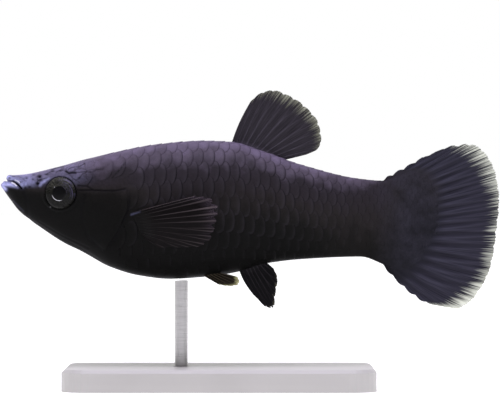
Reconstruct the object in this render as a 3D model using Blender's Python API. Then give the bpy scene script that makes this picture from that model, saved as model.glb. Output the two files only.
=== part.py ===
"""A black molly, adult female, as a still life-size museum model on a plain display stand.

The fish faces -X with its back up, so its left side faces -Y. Lengths are worked out in millimetres in
the fish's own side view: x runs back from the snout, z up from the swimming axis. place() turns such a
point into metres in the part's frame, whose origin is the middle of the underside of the whole model.
"""

import math

import bmesh
import bpy
import numpy as np

MM = 0.001
LENGTH = 90.0
AXIS_HEIGHT = 34.0
GAP = 0.3
FAR = 30.0
FAR_BEHIND = 3 * FAR
SLOPE_STEP = 0.2

# Side view of the body: back and belly lines, half width and level of the widest point
BACK_LINE = [
    (0.0, 2.8), (1.1, 3.9), (2.2, 4.4), (4.3, 4.6), (10.7, 6.05), (17.9, 8.05), (28.7, 10.15),
    (36.5, 10.75), (41.6, 10.55), (47.2, 8.9), (54.0, 6.5), (64.9, 3.9), (69.0, 3.6),
]
BELLY_LINE = [
    (0.0, 2.6), (1.6, 0.3), (3.4, -2.0), (8.3, -5.7), (11.6, -7.8), (14.3, -9.1), (19.7, -12.15),
    (25.1, -13.75), (30.5, -14.35), (36.0, -14.05), (42.5, -13.15), (47.7, -11.6), (55.0, -10.75),
    (65.0, -10.35), (69.0, -12.0),
]
HALF_WIDTH = [
    (0.0, 2.3), (3.4, 2.9), (7.0, 3.9), (11.0, 4.9), (15.0, 5.6), (20.0, 6.25), (26.0, 6.85),
    (32.0, 7.1), (38.0, 6.9), (44.0, 6.2), (50.0, 5.2), (56.0, 4.1), (62.0, 3.0), (69.0, 1.9),
]
WIDEST_SHARE = [(0.0, 0.3), (10.7, 0.36), (20.0, 0.46), (32.0, 0.56), (48.0, 0.5), (69.0, 0.48)]
UPPER_FULLNESS = [(0.0, 2.5), (12.0, 2.7), (24.0, 2.2), (40.0, 2.0), (69.0, 2.0)]
LOWER_FULLNESS = [(0.0, 1.9), (12.0, 1.75), (24.0, 2.0), (34.0, 2.25), (50.0, 2.0), (69.0, 2.0)]
SNOUT_ROUNDING = 3.0

HEAD_END = 25.0
TRUNK_START = 14.0
STALK_START = 52.8
STALK_END = 68.5
RING_POINTS = 36
HEAD_RINGS = 26
TRUNK_RINGS = 24
STALK_RINGS = 11
# How far the rings crowd towards the tip of the snout
SNOUT_CROWDING = 1.5

# Gill opening, from the nape down to the throat
GILL_LINE = [
    (18.6, 12.0), (20.9, 7.2), (22.9, 2.4), (23.2, -0.8), (22.2, -3.8), (20.9, -6.4), (18.8, -9.4),
    (15.4, -13.5),
]
GILL_COVER_FRONT = [
    (19.0, -8.9), (16.4, -7.3), (14.9, -4.0), (14.7, -0.4), (15.6, 1.7), (18.5, 2.1), (22.0, 2.0),
]
GILL_COVER_PROUD = 0.3
GILL_COVER_START = 10.0
GILL_COVER_RINGS = 12
GILL_POCKET_DEPTH = 3.6
GILL_LINE_STEPS = 20
GILL_COVER_STEPS = 16

# Mouth: the slit runs down and back from the front of the upper lip to the corner
MOUTH_FRONT = (1.2, 3.55)
MOUTH_CORNER = (3.8, 2.0)
JAW_HINGE_LOW = (4.9, -4.0)
JAW_BODY_END = 8.0
JAW_RINGS = 16
# Middle lines of the lips in side view, from the corner of the mouth to the front
UPPER_LIP = [(4.1, 2.35), (2.8, 3.15), (1.9, 3.7), (1.15, 4.0)]
LOWER_LIP = [(4.0, 1.45), (2.5, 2.3), (1.3, 2.85), (0.5, 2.75)]
LIP_RADIUS = 0.5
LIP_STEPS = 12
LIP_SIDES = 8
LIP_TAPER = 0.4

EYE_CENTRE = (11.0, 1.25)
EYE_RADIUS = 2.9
EYE_HALF_DEPTH = 1.9
EYE_BULGE = 0.75
EYE_SEGMENTS = 24
EYE_RINGS = 14
ORBIT_RIM_RADIUS = 0.32
ORBIT_RIM_FLATNESS = 1.6
ORBIT_RIM_OUTSIDE = 0.25
ORBIT_RIM_POINTS = 22
ORBIT_RIM_SIDES = 6
NOSTRILS = [(7.4, 4.1), (7.0, 3.0)]
NOSTRIL_RADIUS = 0.34
NOSTRIL_DEPTH = 0.6
NOSTRIL_SEGMENTS = 10
NOSTRIL_RINGS = 6

# Fins, each as root and margin points with the share of the fan that each belongs to
MEMBRANE = 0.5
RAY_AT_ROOT = 1.0
RAY_AT_TIP = 0.6
MARGIN = 0.25
RAY_FOOT_SHARE = 0.28
MARGIN_NOTCH = 0.03
FRONT_BOW = 0.3

DORSAL_ROOT = (41.6, 50.8)
DORSAL_MARGIN = [
    (0.0, 45.1, 17.8), (0.1, 46.9, 19.3), (0.22, 49.1, 19.85), (0.36, 52.0, 18.9), (0.52, 55.1, 16.8),
    (0.68, 57.4, 13.8), (0.84, 57.9, 10.8), (0.93, 57.1, 9.1), (1.0, 55.2, 8.2),
]
DORSAL_RAYS = 12
DORSAL_ROWS = 8

ANAL_ROOT = (43.0, 47.8)
ANAL_MARGIN = [
    (0.0, 45.6, -17.1), (0.2, 48.2, -19.5), (0.4, 49.3, -19.5), (0.6, 49.6, -17.2), (0.8, 50.0, -14.3),
    (1.0, 49.3, -12.4),
]
ANAL_RAYS = 9
ANAL_ROWS = 6

CAUDAL_MARGIN = [
    (0.0, 77.6, 8.1), (0.06, 81.2, 9.7), (0.14, 84.9, 10.05), (0.22, 87.7, 8.2), (0.34, 89.4, 4.6),
    (0.48, 90.0, 0.0), (0.62, 89.6, -5.0), (0.76, 88.6, -11.6), (0.86, 86.3, -16.5), (0.94, 82.3, -19.6),
    (1.0, 77.8, -18.9),
]
CAUDAL_LOWER_BOW = 0.8
CAUDAL_RAYS = 19
CAUDAL_ROWS = 9
CAUDAL_ROOT_INSET = 0.1
# Flesh over the feet of the tail's rays: its share of their length at the middle and at the outer rays,
# how it thins out along them, and its half thickness at the upper and lower edge
CAUDAL_FLESH_SHARE = 0.42
CAUDAL_FLESH_AT_EDGE = 0.35
CAUDAL_FLESH_TAPER = 0.8
CAUDAL_EDGE_HALF = 0.35

PECTORAL_ROOT = [(23.9, -2.3), (25.5, -6.2)]
PECTORAL_MARGIN = [
    (0.0, 35.2, 0.7), (0.15, 37.4, 0.5), (0.32, 39.3, -1.4), (0.5, 39.0, -3.7), (0.7, 38.1, -6.8),
    (0.84, 35.4, -8.35), (1.0, 28.6, -8.5),
]
PECTORAL_RAYS = 11
PECTORAL_ROWS = 7
PECTORAL_SPREAD = 0.24
PECTORAL_ROOT_LIFT = GAP + RAY_AT_ROOT / 2
PECTORAL_CUP = 1.0
PECTORAL_CUP_LENGTH = 1.25

PELVIC_ROOT = (36.3, 39.0)
PELVIC_MARGIN = [
    (0.0, 39.4, -15.2), (0.35, 41.3, -15.45), (0.6, 42.7, -15.3), (0.85, 43.1, -14.6), (1.0, 42.7, -13.9),
]
PELVIC_ROOT_SIDE = 1.6
PELVIC_ROOT_GAP = 0.4
PELVIC_SPREAD = 0.45
PELVIC_RAYS = 6
PELVIC_ROWS = 5

BASE_LENGTH = 56.0
BASE_DEPTH = 32.0
BASE_HEIGHT = 4.0
BASE_CENTRE_X = 39.5
BASE_CORNER = 5.0
BASE_CORNER_STEPS = 6
BASE_BEVEL = 0.6
ROD_RADIUS = 1.2
ROD_X = 32.6
ROD_SOCKET_DEPTH = 2.4
ROD_SIDES = 24

SHARP_ANGLE = math.radians(35)


def smooth_profile(points):
    """A smooth curve through points that never swings past them."""
    xs, ys = np.array(points, float).T
    steps = np.diff(xs)
    slopes = np.diff(ys) / steps
    tangents = np.empty(len(xs))
    tangents[0], tangents[-1] = slopes[0], slopes[-1]
    before, after = slopes[:-1], slopes[1:]
    same_way = before * after > 0
    total = np.where(same_way, before + after, 1.0)
    tangents[1:-1] = np.where(same_way, 2 * before * after / total, 0.0)

    def curve(x):
        x = np.clip(x, xs[0], xs[-1])
        i = np.clip(np.searchsorted(xs, x, side="right") - 1, 0, len(steps) - 1)
        t = (x - xs[i]) / steps[i]
        rise = ys[i] * (1 + 2 * t) * (1 - t) ** 2 + ys[i + 1] * t * t * (3 - 2 * t)
        return rise + steps[i] * t * (1 - t) * (tangents[i] * (1 - t) - tangents[i + 1] * t)

    return curve


def smooth_line(points, count):
    """count points along a smooth line through points."""
    points = np.array(points, float)
    along = np.concatenate([[0.0], np.cumsum(np.linalg.norm(np.diff(points, axis=0), axis=1))])
    wanted = np.linspace(0.0, along[-1], count)
    return np.stack([smooth_profile(np.stack([along, axis], 1))(wanted) for axis in points.T], 1)


back = smooth_profile(BACK_LINE)
belly = smooth_profile(BELLY_LINE)
half_width = smooth_profile(HALF_WIDTH)
widest_share = smooth_profile(WIDEST_SHARE)
upper_fullness = smooth_profile(UPPER_FULLNESS)
lower_fullness = smooth_profile(LOWER_FULLNESS)


def place(points):
    """Side-view millimetres to metres in the part's frame."""
    points = np.asarray(points, float)
    return (points + np.array([-LENGTH / 2, 0.0, AXIS_HEIGHT])) * MM


def section(x):
    """Half width, widest level, rise above it and drop below it at x."""
    top, low = back(x), belly(x)
    level = top - (top - low) * widest_share(x)
    blunt = np.clip(1.0 - x / SNOUT_ROUNDING, 0.0, 1.0)
    return half_width(x) * np.sqrt(1.0 - blunt**2), level, top - level, level - low


def body_point(x, angle, grow=0.0):
    """A point of the body's surface, with angle 0 on the back and half a turn on the belly."""
    width, level, rise, drop = section(x)
    up = math.cos(angle) >= 0.0
    power = 2.0 / float(upper_fullness(x) if up else lower_fullness(x))
    across = math.copysign(abs(math.sin(angle)) ** power, math.sin(angle))
    height = math.copysign(abs(math.cos(angle)) ** power, math.cos(angle))
    reach = (rise if up else drop) + grow
    return np.array([x, (width + grow) * across, level + reach * height])


def side_at(x, z):
    """Half width of the body at x and height z."""
    width, level, rise, drop = section(x)
    reach, power = (rise, upper_fullness(x)) if z >= level else (drop, lower_fullness(x))
    share = min(abs(z - level) / max(reach, 1e-6), 1.0)
    return float(width * (1.0 - share**power) ** (1.0 / power))


def mesh_object(name, points, faces, material):
    mesh = bpy.data.meshes.new(name)
    mesh.from_pydata([tuple(p) for p in points], [], faces)
    shape = bmesh.new()
    shape.from_mesh(mesh)
    bmesh.ops.recalc_face_normals(shape, faces=shape.faces)
    shape.to_mesh(mesh)
    shape.free()
    made = bpy.data.objects.new(name, mesh)
    bpy.context.scene.collection.objects.link(made)
    made.data.materials.append(material)
    return made


def body_length(name, start, end, rings, material, grow=0.0):
    """A closed length of the body from start to end, pointed where it starts at the snout."""
    at_snout = start == 0.0
    stations = start + (end - start) * np.linspace(0.0, 1.0, rings) ** (SNOUT_CROWDING if at_snout else 1.0)
    angles = [math.tau * i / RING_POINTS for i in range(RING_POINTS)]
    points, faces = [], []
    for x in stations[1 if at_snout else 0:]:
        points += [body_point(x, angle, grow) for angle in angles]
    count = len(points) // RING_POINTS
    for ring in range(count - 1):
        for i in range(RING_POINTS):
            a, b = ring * RING_POINTS + i, ring * RING_POINTS + (i + 1) % RING_POINTS
            faces.append((a, b, b + RING_POINTS, a + RING_POINTS))
    last = (count - 1) * RING_POINTS
    faces.append([last + i for i in range(RING_POINTS)])
    if at_snout:
        tip = len(points)
        points.append(np.array([-grow, 0.0, (back(0.0) + belly(0.0)) / 2]))
        faces += [(i, tip, (i + 1) % RING_POINTS) for i in range(RING_POINTS)]
    else:
        faces.append(list(reversed(range(RING_POINTS))))
    return mesh_object(name, place(points), faces, material)


def prism(outline, low, high):
    """A side-view outline given thickness from y = low to y = high."""
    count = len(outline)
    points = [(x, y, z) for y in (low, high) for x, z in outline]
    faces = [list(range(count)), [count + i for i in reversed(range(count))]]
    faces += [(i, (i + 1) % count, count + (i + 1) % count, count + i) for i in range(count)]
    return mesh_object("cutter", place(points), faces, CUTTER)


def ellipsoid(name, centre, radii, axis, material, segments, rings):
    """An ellipsoid whose third radius lies along axis."""
    shape = bmesh.new()
    bmesh.ops.create_uvsphere(shape, u_segments=segments, v_segments=rings, radius=1.0)
    mesh = bpy.data.meshes.new(name)
    shape.to_mesh(mesh)
    shape.free()
    turn = turned_to(axis)
    points = np.array([vertex.co for vertex in mesh.vertices]) * np.array(radii)
    faces = [list(face.vertices) for face in mesh.polygons]
    bpy.data.meshes.remove(mesh)
    return mesh_object(name, place(points @ turn.T + np.array(centre)), faces, material)


def turned_to(axis):
    """A rotation matrix whose third column is axis."""
    third = np.array(axis, float) / np.linalg.norm(axis)
    first = np.cross([0.0, 0.0, 1.0], third)
    first /= np.linalg.norm(first)
    return np.stack([first, np.cross(third, first), third], 1)


def tube(name, path, radii, material, sides):
    """A closed tube along path, with a radius at each point and pointed ends."""
    path = np.array(path, float)
    points, faces = [path[0], path[-1]], []
    ways = np.gradient(path, axis=0)
    for spot, way, radius in zip(path[1:-1], ways[1:-1], radii[1:-1]):
        turn = turned_to(way)
        for k in range(sides):
            angle = math.tau * k / sides
            points.append(spot + radius * (turn[:, 0] * math.cos(angle) + turn[:, 1] * math.sin(angle)))
    rings = len(path) - 2
    for ring in range(rings - 1):
        for k in range(sides):
            a, b = 2 + ring * sides + k, 2 + ring * sides + (k + 1) % sides
            faces.append((a, b, b + sides, a + sides))
    last = 2 + (rings - 1) * sides
    for k in range(sides):
        faces.append((0, 2 + k, 2 + (k + 1) % sides))
        faces.append((1, last + k, last + (k + 1) % sides))
    return mesh_object(name, place(points), faces, material)


def combine(node, operation, others):
    """Applies one Boolean of node with others, which are then removed, and keeps the largest surface."""
    group = bpy.data.collections.new("operands")
    bpy.context.scene.collection.children.link(group)
    for other in others:
        bpy.context.scene.collection.objects.unlink(other)
        group.objects.link(other)
    modifier = node.modifiers.new("join_or_cut", "BOOLEAN")
    modifier.operation = operation
    modifier.operand_type = "COLLECTION"
    modifier.collection = group
    modifier.solver = "EXACT"
    bpy.context.view_layer.update()
    evaluated = node.evaluated_get(bpy.context.evaluated_depsgraph_get())
    mesh = bpy.data.meshes.new_from_object(evaluated)
    material = node.data.materials[0]
    node.modifiers.clear()
    node.data = mesh
    mesh.materials.clear()
    mesh.materials.append(material)
    for other in others:
        bpy.data.objects.remove(other)
    bpy.data.collections.remove(group)
    keep_largest(node)


def keep_largest(node):
    """Deletes all but the connected surface with the largest box."""
    shape = bmesh.new()
    shape.from_mesh(node.data)
    left, surfaces = set(shape.verts), []
    while left:
        found, edge = set(), [next(iter(left))]
        while edge:
            vertex = edge.pop()
            if vertex in found:
                continue
            found.add(vertex)
            edge += [e.other_vert(vertex) for e in vertex.link_edges]
        left -= found
        surfaces.append(found)
    surfaces.sort(key=lambda found: np.ptp([v.co for v in found], axis=0).sum())
    loose = [v for found in surfaces[:-1] for v in found]
    bmesh.ops.delete(shape, geom=loose, context="VERTS")
    shape.to_mesh(node.data)
    shape.free()


def offset_line(line, distance):
    """A side-view line moved by distance to the left of its direction."""
    ways = np.gradient(line, axis=0)
    ways /= np.linalg.norm(ways, axis=1)[:, None]
    return line + distance * np.stack([-ways[:, 1], ways[:, 0]], 1)


def make_material(name, colour, roughness, metallic=0.0):
    material = bpy.data.materials.new(name)
    material.use_nodes = True
    shader = material.node_tree.nodes["Principled BSDF"]
    shader.inputs["Base Color"].default_value = (*colour, 1.0)
    shader.inputs["Roughness"].default_value = roughness
    shader.inputs["Metallic"].default_value = metallic
    return material


# Head, lower jaw, gill covers and eyes


def outward(x, z, side):
    """The direction out of the body's side at x, z."""
    step = SLOPE_STEP
    slope_x = (side_at(x + step, z) - side_at(x - step, z)) / (2 * step)
    slope_z = (side_at(x, z + step) - side_at(x, z - step)) / (2 * step)
    way = np.array([-slope_x, side, -slope_z])
    return way / np.linalg.norm(way)


def eye_place(side):
    """Centre of the eyeball and the direction that it looks in."""
    x, z = EYE_CENTRE
    way = outward(x, z, side)
    surface = np.array([x, side * side_at(x, z), z])
    return surface - way * (EYE_HALF_DEPTH - EYE_BULGE), way


def eyeball(name, side, material, grow=0.0):
    centre, way = eye_place(side)
    radii = (EYE_RADIUS + grow, EYE_RADIUS + grow, EYE_HALF_DEPTH + grow)
    return ellipsoid(name, centre, radii, way, material, EYE_SEGMENTS, EYE_RINGS)


def orbit_rim(side):
    """A low ring of skin round the eye."""
    x, z = EYE_CENTRE
    reach = EYE_RADIUS + ORBIT_RIM_OUTSIDE
    count, ring = ORBIT_RIM_POINTS, ORBIT_RIM_SIDES
    points, faces = [], []
    for i in range(count):
        angle = math.tau * i / count
        px, pz = x + reach * math.cos(angle), z + reach * math.sin(angle)
        way = outward(px, pz, side)
        spot = np.array([px, side * side_at(px, pz), pz])
        out = np.array([math.cos(angle), 0.0, math.sin(angle)])
        for k in range(ring):
            turn = math.tau * k / ring
            offset = ORBIT_RIM_FLATNESS * out * math.cos(turn) + way * math.sin(turn)
            points.append(spot + ORBIT_RIM_RADIUS * offset)
    for i in range(count):
        for k in range(ring):
            a, b = i * ring + k, i * ring + (k + 1) % ring
            c, d = (i + 1) % count * ring + (k + 1) % ring, (i + 1) % count * ring + k
            faces.append((a, b, c, d))
    return mesh_object("rim", place(points), faces, SKIN)


def lip(name, middle_line):
    """A lip that runs from one corner of the mouth round the front to the other."""
    side_view = smooth_line(middle_line, LIP_STEPS)
    half = [(x, side_at(x, z), z) for x, z in side_view[:-1]]
    front_x, front_z = side_view[-1]
    path = [*half, (front_x, 0.0, front_z), *[(x, -y, z) for x, y, z in reversed(half)]]
    fullness = np.sin(np.linspace(0.0, math.pi, len(path))) ** LIP_TAPER
    return tube(name, path, LIP_RADIUS * fullness, SKIN, LIP_SIDES)


def jaw_outline(shift):
    """Side-view outline of the lower jaw, grown by shift past the slit and the hinge."""
    front, corner = np.array(MOUTH_FRONT), np.array(MOUTH_CORNER)
    ahead = front - (corner - front)
    low = np.array(JAW_HINGE_LOW)
    line = offset_line(np.array([ahead, front, corner]), shift)
    rear = np.array([shift, 0.0])
    return [*line, corner + rear + [0.0, shift / 2], low + rear, (-FAR, low[1]), (-FAR, ahead[1])]


def gill_line():
    return smooth_line(GILL_LINE, GILL_LINE_STEPS)


def head_outline():
    line = gill_line()
    return [(-FAR, FAR), (line[0][0], FAR), *line, (line[-1][0], -FAR), (-FAR, -FAR)]


def trunk_outline():
    line = offset_line(gill_line(), GAP)
    return [(FAR_BEHIND, FAR), (line[0][0], FAR), *line, (line[-1][0], -FAR), (FAR_BEHIND, -FAR)]


def gill_cover_outline(shift):
    """The cover's outline, open to the rear, grown by shift along its front edge."""
    front = offset_line(smooth_line(GILL_COVER_FRONT, GILL_COVER_STEPS), shift)
    return [*front, (HEAD_END + 1, front[-1][1]), (HEAD_END + 1, front[0][1])]


def make_head():
    head = body_length("head", 0.0, HEAD_END, HEAD_RINGS, SKIN)
    rims = [orbit_rim(side) for side in (-1, 1)]
    combine(head, "UNION", [*rims, lip("upper_lip", UPPER_LIP)])
    combine(head, "INTERSECT", [prism(head_outline(), -FAR, FAR)])
    cuts = [prism(jaw_outline(GAP), -FAR, FAR)]
    for side in (-1, 1):
        pocket = sorted((side * GILL_POCKET_DEPTH, side * FAR))
        cuts.append(prism(gill_cover_outline(GAP), *pocket))
        cuts.append(eyeball("socket", side, CUTTER, GAP))
        for x, z in NOSTRILS:
            radii = (NOSTRIL_RADIUS, NOSTRIL_RADIUS, NOSTRIL_DEPTH)
            spot = (x, side * side_at(x, z), z)
            way = outward(x, z, side)
            cuts.append(ellipsoid("nostril", spot, radii, way, CUTTER, NOSTRIL_SEGMENTS, NOSTRIL_RINGS))
    combine(head, "DIFFERENCE", cuts)
    return head


def make_lower_jaw():
    jaw = body_length("lower_jaw", 0.0, JAW_BODY_END, JAW_RINGS, SKIN)
    combine(jaw, "UNION", [lip("lower_lip", LOWER_LIP)])
    combine(jaw, "INTERSECT", [prism(jaw_outline(0.0), -FAR, FAR)])


def make_gill_cover(name, side):
    cover = body_length(name, GILL_COVER_START, HEAD_END, GILL_COVER_RINGS, SKIN, GILL_COVER_PROUD)
    low, high = sorted((side * (GILL_POCKET_DEPTH + GAP), side * FAR))
    combine(cover, "INTERSECT", [prism(gill_cover_outline(0.0), low, high)])
    combine(cover, "INTERSECT", [prism(head_outline(), -FAR, FAR)])


# Trunk and tail stalk


def make_trunk():
    trunk = body_length("trunk", TRUNK_START, STALK_START - GAP, TRUNK_RINGS, SKIN)
    combine(trunk, "INTERSECT", [prism(trunk_outline(), -FAR, FAR)])


def make_tail_stalk():
    body_length("tail_stalk", STALK_START, STALK_END, STALK_RINGS, SKIN)


# Fins


def fan_shares(rays):
    """Shares of the fan across it, at each ray's crest and at the feet of its ridge."""
    shares, crests = [], []
    for ray in range(rays):
        middle = ray / (rays - 1)
        foot = RAY_FOOT_SHARE / (rays - 1)
        for share, crest in ((middle - foot, False), (middle, True), (middle + foot, False)):
            if 0.0 <= share <= 1.0:
                shares.append(share)
                crests.append(crest)
    return shares, crests


def fin(name, rays, rows, surface, flesh=None):
    """A closed fin whose rays stand up from its membrane. surface(share, reach) is its middle."""
    shares, crests = fan_shares(rays)
    reaches = np.linspace(0.0, 1.0, rows)
    middle = np.empty((len(shares), rows, 3))
    thick = np.empty((len(shares), rows))
    for i, (share, crest) in enumerate(zip(shares, crests)):
        length = 1.0 if crest else 1.0 - MARGIN_NOTCH
        for j, reach in enumerate(reaches):
            middle[i, j] = surface(share, reach * length)
            own = RAY_AT_ROOT + (RAY_AT_TIP - RAY_AT_ROOT) * reach if crest else MEMBRANE
            own = MARGIN if j == rows - 1 else own
            thick[i, j] = max(own, flesh(share, reach)) if flesh else own
    across, along = np.gradient(middle, axis=0), np.gradient(middle, axis=1)
    normal = np.cross(across, along)
    normal /= np.linalg.norm(normal, axis=2)[:, :, None]
    half = normal * thick[:, :, None] / 2
    points = np.concatenate([(middle + half).reshape(-1, 3), (middle - half).reshape(-1, 3)])
    other = len(shares) * rows
    faces = []
    for i in range(len(shares) - 1):
        for j in range(rows - 1):
            a, b = i * rows + j, (i + 1) * rows + j
            for base in (0, other):
                faces += [(base + a, base + b, base + b + 1), (base + a, base + b + 1, base + a + 1)]
    rim = [i * rows for i in range(len(shares))]
    rim += [(len(shares) - 1) * rows + j for j in range(1, rows)]
    rim += [i * rows + rows - 1 for i in reversed(range(len(shares) - 1))]
    rim += list(range(rows - 2, 0, -1))
    for a, b in zip(rim, rim[1:] + rim[:1]):
        faces += [(a, b, other + b), (a, other + b, other + a)]
    return mesh_object(name, place(points), faces, FIN)


def margin_curve(points):
    shares, xs, zs = np.array(points).T
    return smooth_profile(np.stack([shares, xs], 1)), smooth_profile(np.stack([shares, zs], 1))


def upright_fin(name, root, margin, rays, rows, edge, gap):
    """A fin on the midline whose root follows edge, a gap away from it."""
    margin_x, margin_z = margin_curve(margin)

    def surface(share, reach):
        x = root[0] + (root[1] - root[0]) * share
        start = np.array([x, 0.0, edge(x) + gap])
        end = np.array([margin_x(share), 0.0, margin_z(share)])
        curve = np.array([-FRONT_BOW * math.sin(math.pi * reach), 0.0, 0.0]) * (1.0 - share)
        return start + (end - start) * reach + curve

    return fin(name, rays, rows, surface)


def make_caudal_fin():
    margin_x, margin_z = margin_curve(CAUDAL_MARGIN)
    root_x = STALK_END + GAP
    top, low = back(root_x) - CAUDAL_ROOT_INSET, belly(root_x) + CAUDAL_ROOT_INSET
    widest = half_width(root_x)

    def surface(share, reach):
        start = np.array([root_x, 0.0, top + (low - top) * share])
        end = np.array([margin_x(share), 0.0, margin_z(share)])
        bow = CAUDAL_LOWER_BOW * math.sin(math.pi * reach) * share**3
        return start + (end - start) * reach - np.array([0.0, 0.0, bow])

    def flesh(share, reach):
        crown = max(1.0 - (2.0 * share - 1.0) ** 2, 0.0)
        at_root = 2.0 * (CAUDAL_EDGE_HALF + (widest - CAUDAL_EDGE_HALF) * math.sqrt(crown))
        end = CAUDAL_FLESH_SHARE * (CAUDAL_FLESH_AT_EDGE + (1.0 - CAUDAL_FLESH_AT_EDGE) * crown)
        return at_root * max(1.0 - reach / end, 0.0) ** CAUDAL_FLESH_TAPER

    return fin("caudal_fin", CAUDAL_RAYS, CAUDAL_ROWS, surface, flesh)


def make_pectoral_fin(name, side):
    margin_x, margin_z = margin_curve(PECTORAL_MARGIN)
    (root_x0, root_z0), (root_x1, root_z1) = PECTORAL_ROOT

    def surface(share, reach):
        x, z = root_x0 + (root_x1 - root_x0) * share, root_z0 + (root_z1 - root_z0) * share
        start = np.array([x, side * (side_at(x, z) + PECTORAL_ROOT_LIFT), z])
        end = np.array([margin_x(share), 0.0, margin_z(share)])
        run = math.hypot(end[0] - x, end[2] - z)
        end[1] = start[1] + side * PECTORAL_SPREAD * run
        along = math.sin(math.pi * reach / PECTORAL_CUP_LENGTH)
        cup = side * PECTORAL_CUP * along * math.sin(math.pi * share)
        return start + (end - start) * reach + np.array([0.0, cup, 0.0])

    return fin(name, PECTORAL_RAYS, PECTORAL_ROWS, surface)


def make_pelvic_fin(name, side):
    margin_x, margin_z = margin_curve(PELVIC_MARGIN)
    root_front, root_rear = PELVIC_ROOT

    def surface(share, reach):
        x = root_front + (root_rear - root_front) * share
        start = np.array([x, side * PELVIC_ROOT_SIDE, belly_at(x, PELVIC_ROOT_SIDE) - PELVIC_ROOT_GAP])
        end = np.array([margin_x(share), 0.0, margin_z(share)])
        run = math.hypot(end[0] - x, end[2] - start[2])
        end[1] = start[1] + side * PELVIC_SPREAD * run
        return start + (end - start) * reach

    return fin(name, PELVIC_RAYS, PELVIC_ROWS, surface)


def belly_at(x, y):
    """Height of the underside of the body at x and y to the side of the midline."""
    width, level, _, drop = section(x)
    share = min(abs(y) / width, 1.0)
    power = lower_fullness(x)
    return float(level - drop * (1.0 - share**power) ** (1.0 / power))


# Stand


def rounded_rectangle(length, depth, corner):
    steps, outline = BASE_CORNER_STEPS, []
    for quarter, (sx, sy) in enumerate(((1, 1), (-1, 1), (-1, -1), (1, -1))):
        for step in range(steps + 1):
            angle = math.pi / 2 * (quarter + step / steps)
            x = sx * (length / 2 - corner) + corner * math.cos(angle)
            y = sy * (depth / 2 - corner) + corner * math.sin(angle)
            outline.append((x, y))
    return outline


def make_stand_base():
    outline = rounded_rectangle(BASE_LENGTH, BASE_DEPTH, BASE_CORNER)
    inner_length, inner_depth = BASE_LENGTH - 2 * BASE_BEVEL, BASE_DEPTH - 2 * BASE_BEVEL
    inner = rounded_rectangle(inner_length, inner_depth, BASE_CORNER - BASE_BEVEL)
    levels = [(outline, 0.0), (outline, BASE_HEIGHT - BASE_BEVEL), (inner, BASE_HEIGHT)]
    count = len(outline)
    points = [(x + BASE_CENTRE_X, y, z - AXIS_HEIGHT) for line, z in levels for x, y in line]
    faces = [list(range(count)), [2 * count + i for i in range(count)]]
    for level in range(2):
        for i in range(count):
            a, b = level * count + i, level * count + (i + 1) % count
            faces.append((a, b, b + count, a + count))
    base = mesh_object("stand_base", place(points), faces, BASE)
    hole = rod_shape("hole", ROD_RADIUS + GAP, 0.0, lambda x, y: FAR - AXIS_HEIGHT)
    combine(base, "DIFFERENCE", [hole])


def rod_shape(name, radius, lift, top):
    """An upright rod of the stand, whose top end follows top(x, y)."""
    low = BASE_HEIGHT - ROD_SOCKET_DEPTH + lift - AXIS_HEIGHT
    ring = [math.tau * i / ROD_SIDES for i in range(ROD_SIDES)]
    spots = [(ROD_X + radius * math.cos(a), radius * math.sin(a)) for a in ring]
    points = [(x, y, low) for x, y in spots] + [(x, y, top(x, y)) for x, y in spots]
    points.append((ROD_X, 0.0, top(ROD_X, 0.0)))
    faces = [list(range(ROD_SIDES))]
    for i in range(ROD_SIDES):
        j = (i + 1) % ROD_SIDES
        faces.append((i, j, ROD_SIDES + j, ROD_SIDES + i))
        faces.append((ROD_SIDES + i, ROD_SIDES + j, 2 * ROD_SIDES))
    return mesh_object(name, place(points), faces, ROD)


def make_stand_rod():
    rod_shape("stand_rod", ROD_RADIUS, GAP, lambda x, y: belly_at(x, y) - GAP)


for old in list(bpy.data.objects):
    bpy.data.objects.remove(old)

SKIN = make_material("black_skin", (0.012, 0.011, 0.014), 0.45)
FIN = make_material("dark_fin", (0.02, 0.018, 0.026), 0.5)
EYE = make_material("dark_eye", (0.006, 0.006, 0.008), 0.12)
BASE = make_material("lacquered_base", (0.62, 0.62, 0.6), 0.5)
ROD = make_material("brushed_rod", (0.6, 0.6, 0.58), 0.3, 1.0)
CUTTER = make_material("cutter", (0.5, 0.5, 0.5), 0.5)

make_head()
make_lower_jaw()
for word, way in (("left", -1), ("right", 1)):
    make_gill_cover(f"gill_cover_{word}", way)
    eyeball(f"eye_{word}", way, EYE)
    make_pectoral_fin(f"pectoral_fin_{word}", way)
    make_pelvic_fin(f"pelvic_fin_{word}", way)
make_trunk()
make_tail_stalk()
upright_fin("dorsal_fin", DORSAL_ROOT, DORSAL_MARGIN, DORSAL_RAYS, DORSAL_ROWS, back, GAP)
upright_fin("anal_fin", ANAL_ROOT, ANAL_MARGIN, ANAL_RAYS, ANAL_ROWS, belly, -GAP)
make_caudal_fin()
make_stand_base()
make_stand_rod()

for piece in bpy.context.scene.objects:
    piece.data.shade_smooth()
    piece.data.set_sharp_from_angle(angle=SHARP_ANGLE)
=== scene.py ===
"""The looks of a black molly: scaled skin, rayed fins, glassy eyes, and the plain stand that holds it.

As in the solids, lengths are worked out in millimetres in the fish's own side view: x runs back from the
snout, z up from the swimming axis, and the left side faces -Y. place() turns them into metres.
"""

import math
from dataclasses import dataclass

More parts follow.
